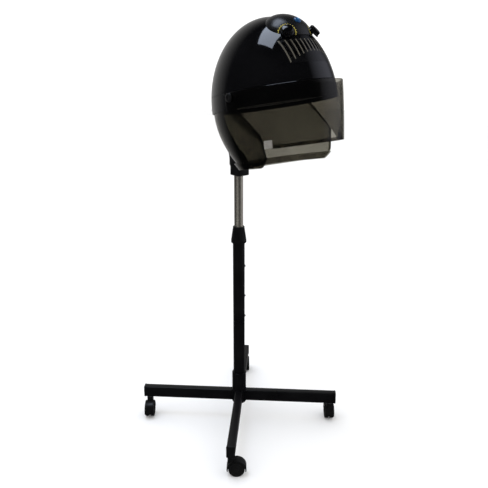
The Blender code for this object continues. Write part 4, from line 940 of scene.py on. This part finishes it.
def bonnet_holes():
    holes = []
    for polar, count in BONNET_HOLES.items():
        tilt = Matrix.Rotation(math.radians(polar), 4, "Y")
        for number in range(count):
            turn = Matrix.Rotation(math.tau * (number + 0.5 * (polar % 2)) / count, 4, "Z")
            holes.append(moved(rod(BONNET_HOLE_RADIUS, 2 * BONNET[2], BONNET[2] / 2, 16), turn @ tilt))
    return joined(*holes)


def build_bonnet():
    centre = HOOD @ Matrix.Translation((0, 0, BAND_BOTTOM))
    low = BONNET_FLANGE_Z - BAND_BOTTOM
    angles = between(math.asin(low / BONNET[2]), math.radians(88.5), 32)
    outer = [bonnet_ring(BONNET[2] * math.sin(a), 0) for a in angles]
    inner = [bonnet_ring((BONNET[2] - BONNET_WALL) * math.sin(a), BONNET_WALL) for a in angles]
    tucked = (BONNET_TUCK * BONNET[0], BONNET_TUCK * BONNET[1], 0)
    spread = (*inside_shell(BONNET_FLANGE_Z, FACETS), DOME_BACK)
    high = low + BONNET_FLANGE
    corners = ((tucked, low), (spread, low), (spread, high), (tucked, high))
    flange = loft([oval(*size, height) for size, height in corners], loop=True)

    def work(obj):
        carve(obj, flange, centre, "UNION")
        carve(obj, bonnet_holes(), centre)

    shape = loft(list(reversed(inner)) + outer)
    piece("bonnet_liner", shape, "grey_plastic", "hood", centre, ["inner_bonnet"], work)


# Smoked skirt and visor

SKIRT_FACETS = 0.9904  # the skirt clears the flats of the band round it
SKIRT_EDGE_START = 0.003  # front edge ahead of the pivot axis at the band
SKIRT_EDGE_SLOPE = 0.91  # forward for each step down
SKIRT_CORNER_HEIGHT = 0.028
SKIRT_CORNER_BACK = 0.026
SKIRT_WIDTH_CURVE = 1.8  # higher keeps the width longer on the way down
SKIRT_DEPTH_CURVE = 2.1
SKIRT_RIM = 0.019  # height of the thicker rim along the foot
SKIRT_RIM_PROUD = 0.0008
SKIRT_RIM_WALL = SKIRT_WALL + 0.0018
SKIRT_EDGE = 0.006  # width of the rim up the front edges
SKIRT_EDGE_DROP = 0.004  # its start below the band
SKIRT_ROUNDING = 0.0009
SKIRT_RIM_ROUNDING = 0.0012
VISOR_REACH_CURVE = 1.4
VISOR_ROUNDING = 0.0008
VISOR_LIP_ROUNDING = 0.0006
VISOR_LIP = 0.009  # height of the second layer along the foot
VISOR_STEPS = 120
TAB_RIDGES = 5
TAB_RIDGE_HEIGHT = 0.0005
PIVOT_DIMPLE = 0.0008
PIVOT_LENGTH = 0.0135


def blend(height, top, bottom, at_top, at_bottom, power=1.0):
    share = min(max((top - height) / (top - bottom), 0), 1)
    return at_top + (at_bottom - at_top) * share**power


def skirt_front(height):
    """Front edge ahead of the pivot axis: slanting from the band, upright, and rounded at the foot."""
    slant = SKIRT_EDGE_START + (BAND_BOTTOM - height) * SKIRT_EDGE_SLOPE
    corner = SKIRT_BOTTOM + SKIRT_CORNER_HEIGHT - height
    if corner > 0:
        return SKIRT_FRONT_LOW - SKIRT_CORNER_BACK * (corner / SKIRT_CORNER_HEIGHT) ** 2
    return max(min(slant, SKIRT_FRONT_LOW), 0.0)


def skirt_row(height, grow=0.0):
    """Level line round the skirt, from its left front edge round the back to the right one."""
    top_width, top_depth = inside_shell(BAND_BOTTOM, SKIRT_FACETS)
    span = (min(height, BAND_BOTTOM), BAND_BOTTOM, SKIRT_BOTTOM)
    half_width = blend(*span, top_width, SKIRT_FOOT_HALF_WIDTH, SKIRT_WIDTH_CURVE) + grow
    half_depth = blend(*span, top_depth, SKIRT_FOOT_DEPTH, SKIRT_DEPTH_CURVE) + grow
    front = skirt_front(height)
    back = [(half_width * math.cos(a), DOME_BACK + half_depth * math.sin(a)) for a in between(0, math.pi, 72)]
    side = [(half_width, DOME_BACK - (front + DOME_BACK) * part) for part in between(1, 0, 8)[:-1]]
    return [(x, y, height) for x, y in side + back + [(-x, y) for x, y in reversed(side)]]


def build_skirt():
    heights = between(SKIRT_TOP, BAND_BOTTOM, 3) + between(BAND_BOTTOM, SKIRT_BOTTOM, 48)[1:]
    sheet = grid([skirt_row(z) for z in heights])
    sheet_work = walled(SKIRT_WALL, SKIRT_ROUNDING)
    rim_work = walled(SKIRT_RIM_WALL, SKIRT_RIM_ROUNDING, 3)
    piece("skirt_sheet", sheet, "smoked_skirt", "hood", HOOD, ["neck_skirt"], sheet_work)
    rim_top = SKIRT_BOTTOM + SKIRT_RIM
    rows = [skirt_row(z, SKIRT_RIM_PROUD) for z in between(rim_top, SKIRT_BOTTOM, 8)]
    piece("skirt_rim", grid(rows), "smoked_rim", "hood", HOOD, (), rim_work)
    for name, end, way in (("left", 0, 1), ("right", -1, -1)):
        rows = []
        for height in between(BAND_BOTTOM - SKIRT_EDGE_DROP, rim_top + GAP, 40):
            x, y, z = skirt_row(height, SKIRT_RIM_PROUD)[end]
            rows.append([(x, y + back, z) for back in between(0, SKIRT_EDGE, 3)][::way])
        piece(f"skirt_edge_{name}", grid(rows), "smoked_rim", "hood", HOOD, (), rim_work)


def visor_reach(height):
    return blend(height, VISOR_TOP, VISOR_BOTTOM, VISOR_TOP_REACH, VISOR_FOOT_REACH, VISOR_REACH_CURVE)


def visor_half_width(height):
    return blend(height, VISOR_TOP, VISOR_BOTTOM, VISOR_TOP_HALF_WIDTH, VISOR_FOOT_HALF_WIDTH)


def visor_back(height):
    if height >= VISOR_EAR_BOTTOM:
        return VISOR_EAR_BACK
    return blend(height, VISOR_EAR_BOTTOM, VISOR_BOTTOM, VISOR_EAR_BACK, VISOR_CORNER)


def visor_point(angle, height, grow=0.0):
    reach, half_width = visor_reach(height) + grow, visor_half_width(height) + grow
    return (half_width * math.sin(angle), -reach * math.cos(angle), height)


def visor_end(height):
    return math.acos(max(min(visor_back(height) / visor_reach(height), 1), -1))


def visor_row(height, grow=0.0):
    end = visor_end(height)
    return [visor_point(a, height, grow) for a in between(-end, end, VISOR_STEPS)]


def build_visor():
    heights = between(VISOR_TOP, VISOR_EAR_BOTTOM, 12) + between(VISOR_EAR_BOTTOM, VISOR_BOTTOM, 28)[1:]

    def work(obj):
        thicken(obj, VISOR_WALL)
        carve(obj, rod(PIVOT_RADIUS + GAP, 2 * DOME[0], -2 * DOME[0], 32), HOOD @ CROSSWISE)
        soften(obj, VISOR_ROUNDING)

    sheet = grid([visor_row(z) for z in heights])
    piece("visor_sheet", sheet, "smoked_clear_plastic", "visor", HOOD, ["visor"], work)
    rows = [visor_row(z, -VISOR_WALL - GAP) for z in between(VISOR_BOTTOM + VISOR_LIP, VISOR_BOTTOM, 6)]
    piece("visor_lip", grid(rows), "smoked_clear_plastic", "visor", HOOD, (),
          walled(VISOR_WALL, VISOR_LIP_ROUNDING))
    for name, side in (("left", 1), ("right", -1)):
        build_tab(name, side)
        build_pivot(name, side)


def build_tab(name, side):
    """Ridged pad for the fingers at one lower corner of the visor."""
    low = VISOR_BOTTOM + TAB_WALL / 2
    half_turn = TAB_WIDTH / VISOR_FOOT_REACH / 2
    middle = side * (math.acos(visor_back(low + TAB_HEIGHT / 2) / visor_reach(low)) - half_turn)
    rows = []
    for height in between(low + TAB_HEIGHT, low, 16):
        ridge = TAB_RIDGE_HEIGHT * math.cos(math.tau * TAB_RIDGES * (height - low) / TAB_HEIGHT)
        angles = between(middle - half_turn, middle + half_turn, 16)
        rows.append([visor_point(a, height, GAP + TAB_WALL + ridge) for a in angles])
    piece(f"finger_pad_{name}", grid(rows), "pale_grey_pad", "visor", HOOD, [f"visor_tab_{name}"],
          walled(TAB_WALL, VISOR_ROUNDING))


def build_pivot(name, side):
    outer = visor_half_width(PIVOT_HEAD_RADIUS) + GAP
    end, root = outer + PIVOT_HEAD, outer - PIVOT_LENGTH
    dimple = end - PIVOT_DIMPLE
    head = [
        (0, dimple), (0.004, dimple, 0.0005), (0.005, end, 0.0006), (0.0085, end, 0.001),
        (PIVOT_HEAD_RADIUS, end - 0.0022, 0.0012), (PIVOT_HEAD_RADIUS, outer, 0.0005),
        (PIVOT_RADIUS, outer, 0), (PIVOT_RADIUS, root), (0, root),
    ]
    place = HOOD @ Matrix.Rotation(side * math.pi / 2, 4, "Y")
    piece(f"pivot_cap_{name}", lathe(fillet(head, 0.0005), 48), "black_plastic", "hood", place,
          [f"visor_pivot_{name}"])


# Control pod

DOME_MIDDLE = Vector((0, DOME_BACK, -DOME_DROP))
SCALE_COLOR = (0.40, 0.34, 0.06)
SCALE_LINE = KNOB_SEAT_RADIUS + 0.0021  # radius of the scale's arc
SCALE_LINE_HALF = 0.0006
SCALE_TICK = KNOB_SEAT_RADIUS + 0.0038
SCALE_TICK_HALF = 0.0013
SCALE_TICKS = 24.0  # to a whole turn
SCALE_TICK_CREST = 0.62  # of the ticks' wave, above which a tick shows
SCALE_HALF_ARC = 2.4
LAMP_GLOW = 0.9
POD_ROUNDING = 0.0009
KNOB_SKIRT = 0.0016  # wider than the grip
KNOB_GRIP_LOW = 0.0052  # foot of the grip's straight side
KNOB_FLUTES = 24
KNOB_FLUTE_DEPTH = 0.0008
POINTER = (0.0016, 0.0070, 0.0008)
POINTER_REACH = 0.0098
POINTER_SUNK = 0.0010
POINTER_ROUNDING = 0.0002


def dome_out(point):
    """Outward direction of the dome at a point on it."""
    return Vector([(point[i] - DOME_MIDDLE[i]) / DOME[i] ** 2 for i in range(3)]).normalized()


POD_FRONT = Vector(front_point(0, POD_UP, 0))
POD_TURN = math.atan2(-dome_out(POD_FRONT).y, dome_out(POD_FRONT).z) - POD_LEAN
POD_LOCAL = Matrix.Translation(POD_FRONT + Vector((0, POD_BURIED, 0))) @ Matrix.Rotation(POD_TURN, 4, "X")
POD_FRAME = HOOD @ POD_LOCAL


def dome_under_pod(x, y):
    """Point of the dome, a clearance out, straight under a place on the pod, in the pod's frame."""
    shrink = Matrix.Diagonal([1 / (size + GAP) for size in DOME])
    start = shrink @ (POD_LOCAL @ Vector((x, y, 0)) - DOME_MIDDLE)
    way = shrink @ (POD_LOCAL.to_3x3() @ Vector((0, 0, 1)))
    along, square = start.dot(way), way.dot(way)
    return Vector((x, y, (math.sqrt(along**2 - square * (start.dot(start) - 1)) - along) / square))


def pod_surface(x, y):
    a, b, c = POD
    return Vector((x, y, c * math.sqrt(1 - (x / a) ** 2 - (y / b) ** 2)))


def pod_rim(angle):
    """Plan distance at which the pod comes down to its rim's thickness."""
    cosine, sine = math.cos(angle), math.sin(angle)
    low, high = 0.0, 1 / math.hypot(cosine / POD[0], sine / POD[1])
    while high - low > GAP / 100:
        reach = (low + high) / 2
        x, y = reach * cosine, reach * sine
        clear = pod_surface(x, y).z - dome_under_pod(x, y).z > POD_EDGE
        low, high = (reach, high) if clear else (low, reach)
    return low


def knob_frame(side):
    """Seat of a knob: over the dome and facing straight out of it."""
    spot = POD_LOCAL @ dome_under_pod(side * KNOB_SPREAD, -KNOB_AHEAD)
    point = Vector(front_point(spot.x, spot.z, 0))
    out = dome_out(point)
    turn = out.to_track_quat("Z", "Y").to_matrix().to_4x4()
    return HOOD @ Matrix.Translation(point + out * KNOB_LIFT) @ turn


def lens_frame():
    spot = pod_surface(0, LENS_BACK)
    out = Vector((0, spot.y / POD[1] ** 2, spot.z / POD[2] ** 2)).normalized()
    return POD_FRAME @ Matrix.Translation(spot) @ out.to_track_quat("Z", "Y").to_matrix().to_4x4()


def print_scale(look, axis):
    """Prints a yellow scale arc with ticks on the pod round one knob."""
    tree = look.node_tree
    work = partial(math_node, tree)
    x, y, _ = coordinates(tree, axis)
    reach, turn = distance_from_axis(tree, x, y), work("ARCTAN2", x, y)
    line = work("COMPARE", reach, SCALE_LINE, SCALE_LINE_HALF)
    wave = work("COSINE", work("MULTIPLY", turn, SCALE_TICKS))
    tick_band = work("COMPARE", reach, SCALE_TICK, SCALE_TICK_HALF)
    ticks = work("MULTIPLY", tick_band, work("GREATER_THAN", wave, SCALE_TICK_CREST))
    in_arc = work("COMPARE", turn, 0.0, SCALE_HALF_ARC)
    print_and_highlight_over(look, work("MULTIPLY", work("MAXIMUM", line, ticks), in_arc), SCALE_COLOR)


def build_pod():
    rims = []
    for angle in between(0, math.tau, 96)[:-1]:
        reach = pod_rim(angle)
        rims.append((reach * math.cos(angle), reach * math.sin(angle)))
    shares = [math.sin(turn) for turn in between(0, math.pi / 2, 24)]
    under = [[dome_under_pod(x * share, y * share) for x, y in rims] for share in shares]
    over = [[pod_surface(x * share, y * share) for x, y in rims] for share in reversed(shares)]
    seats = [knob_frame(side) for side in (-1, 1)]

    def work(obj):
        for seat in seats:
            carve(obj, rod(KNOB_SEAT_RADIUS, 2 * KNOB_HEIGHT, 0), seat)
            carve(obj, rod(KNOB_SHAFT + GAP, KNOB_HEIGHT, -KNOB_HEIGHT, 24), seat)
        carve(obj, rod(LENS_RADIUS + GAP, 4 * LENS_RISE, -LENS_ROOT - GAP), lens_frame())
        soften(obj, POD_ROUNDING)

    for seat in seats:
        print_scale(LOOKS["printed_pod"], seat)
    piece("pod_cover", loft(under + over), "printed_pod", "hood", POD_FRAME, ["control_pod"], work)
    build_lens(lens_frame())
    for seat, knob in zip(seats, ("timer", "heat")):
        build_knob(knob, seat)


def build_lens(place):
    arc = [(LENS_RADIUS * math.cos(a), LENS_RISE * math.sin(a)) for a in between(math.pi / 2, 0, 12)]
    lens = [(0, LENS_RISE)] + arc[1:] + [(LENS_RADIUS, -LENS_ROOT), (0, -LENS_ROOT)]
    light_centre(LOOKS["blue_lens"], place, 0.5 * LENS_RADIUS, LAMP_GLOW)
    piece("lamp_cover", lathe(lens, 48), "blue_lens", "hood", place, ["lamp_lens"])


def build_knob(knob, seat):
    body, top, grip = f"{knob}_knob", KNOB_HEIGHT, KNOB_RADIUS - KNOB_SKIRT
    profile = [(0, top), (0.5 * grip, top - 0.0004, 0.003), (0.86 * grip, top - 0.0016, 0.002)]
    profile += [(grip, z, 0.001) for z in between(top - 0.0042, KNOB_GRIP_LOW, 8)]
    profile += [(grip + 0.0002, 0.0042, 0.0006), (KNOB_RADIUS, 0.0034, 0.0006), (KNOB_RADIUS, GAP, 0.0004)]
    profile += [(KNOB_SHAFT, GAP, 0), (KNOB_SHAFT, -KNOB_SHAFT_LENGTH, 0), (0, -KNOB_SHAFT_LENGTH)]
    fluted = (0.005, top - 0.0040)
    shape = lathe(fillet(profile, 0.0006), 144, False, KNOB_FLUTES, KNOB_FLUTE_DEPTH, fluted)
    piece(f"{knob}_grip", shape, "gloss_black_plastic", body, seat, [body])
    bar = box(POINTER, (0, POINTER_REACH, top - POINTER_SUNK))
    piece(f"{knob}_pointer", bar, "pale_grey_pad", body, seat, (),
          lambda obj: soften(obj, POINTER_ROUNDING))


# Pieces kept from the part, each with a fuller look

def dress_kept_nodes():
    slots = {entry["node"]: entry["material_slot"] for entry in frame["record"]["subparts"]}
    for name, obj in frame["nodes"].items():
        obj.data.materials.clear()
        obj.data.materials.append(LOOKS[slots[name]])


# Studio

FLOOR_HALF = 9
ROOM_WAY = (0.45, 0.89, 0.05)  # behind the dryer, as the camera sees it
ROOM_GLOW = [(0.58, (0.020, 0.021, 0.024)), (0.985, (0.42, 0.415, 0.41))]
ROOM_DIMS = (0.95, 0.62)  # upward share of a direction where the room is dimmest and brightest
ROOM_DIMMEST = 0.12
SIDE_WAY = (0.80, -0.50, 0.36)  # to the right of the dryer
SIDE_GLOW = [(0.72, (0, 0, 0)), (0.99, (0.46, 0.47, 0.55))]
DAYLIGHT = 1.2
BOX_PLACE = (-0.5, 0.42, 3.2)
BOX_SIZE = (1.6, 1.0)
BOX_POWER = 22
BOX_COLOR = (0.74, 0.83, 1.0)
CAMERA_PLACE = (-1.2187, -1.4279 + SETBACK, 1.2230)
# Right, up and back, as the camera has them
CAMERA_AXES = ((0.7548, -0.6560, 0), (0.1980, 0.2279, 0.9534), (-0.6253, -0.7197, 0.3019))
CAMERA_LENS = 45.57
CAMERA_SENSOR = 36


def build_floor():
    steps = between(-FLOOR_HALF, FLOOR_HALF, 6)
    sheet = grid([[(x, y, 0) for x in steps] for y in reversed(steps)])
    floor = bare_object("floor", sheet, Matrix.Identity(4))
    floor.data.materials.append(LOOKS["pale_floor"])
    floor.visible_glossy = False


def build_world():
    """White daylight all round, and a darker room that only mirrors show."""
    world = bpy.data.worlds.new("studio")
    bpy.context.scene.world = world
    world.use_nodes = True
    tree = world.node_tree
    link = tree.links.new
    back, path = tree.nodes["Background"], add(tree, "LightPath")
    put(back, Color=(1, 1, 1, 1), Strength=DAYLIGHT)
    place, split = add(tree, "TexCoord"), add(tree, "SeparateXYZ")
    link(place.outputs["Generated"], split.inputs["Vector"])

    def glow(toward, stops):
        """Brightness of what is mirrored from one direction, fading away round it."""
        near = add(tree, "VectorMath")
        near.operation = "DOT_PRODUCT"
        near.inputs[1].default_value = Vector(toward).normalized()
        link(place.outputs["Generated"], near.inputs[0])
        shine = add(tree, "Background")
        link(ramp(tree, near.outputs["Value"], stops), shine.inputs["Color"])
        return shine

    room, side = glow(ROOM_WAY, ROOM_GLOW), glow(SIDE_WAY, SIDE_GLOW)
    dimmed = remap(tree, split.outputs["Z"], *ROOM_DIMS, ROOM_DIMMEST, 1.0)
    link(dimmed, room.inputs["Strength"])
    both, mix = add(tree, "AddShader"), add(tree, "MixShader")
    link(room.outputs["Background"], both.inputs[0])
    link(side.outputs["Background"], both.inputs[1])
    link(path.outputs["Is Glossy Ray"], mix.inputs["Fac"])
    link(back.outputs["Background"], mix.inputs[1])
    link(both.outputs["Shader"], mix.inputs[2])
    link(mix.outputs["Shader"], tree.nodes["World Output"].inputs["Surface"])


def build_softbox():
    """Large soft light straight overhead, facing down."""
    light = bpy.data.lights.new("overhead_light", "AREA")
    light.shape = "RECTANGLE"
    light.size, light.size_y = BOX_SIZE
    light.energy = BOX_POWER
    light.color = BOX_COLOR
    lamp = bpy.data.objects.new("overhead_light", light)
    lamp.location = BOX_PLACE
    lamp.rotation_euler = Vector((0, 0, -1)).to_track_quat("-Z", "Y").to_euler()
    bpy.context.scene.collection.objects.link(lamp)


def build_camera():
    camera = bpy.data.objects.new("camera", bpy.data.cameras.new("camera"))
    camera.data.lens = CAMERA_LENS
    camera.data.sensor_width = CAMERA_SENSOR
    turn = Matrix([Vector(axis).normalized() for axis in CAMERA_AXES]).transposed().to_4x4()
    camera.matrix_world = Matrix.Translation(CAMERA_PLACE) @ turn
    bpy.context.scene.collection.objects.link(camera)
    bpy.context.scene.camera = camera


build_camera()
dress_kept_nodes()
build_base()
for leg_name, leg_bearing in LEG_BEARINGS.items():
    build_castor(leg_name, math.radians(leg_bearing), math.radians(CASTOR_HEADINGS[leg_name]))
build_column()
build_collar()
build_pole()
build_bracket()
build_tilt()
build_dome()
build_band()
build_grille()
build_bonnet()
build_skirt()
build_visor()
build_pod()
build_floor()
build_world()
build_softbox()
bpy.context.scene.view_settings.view_transform = "Standard"
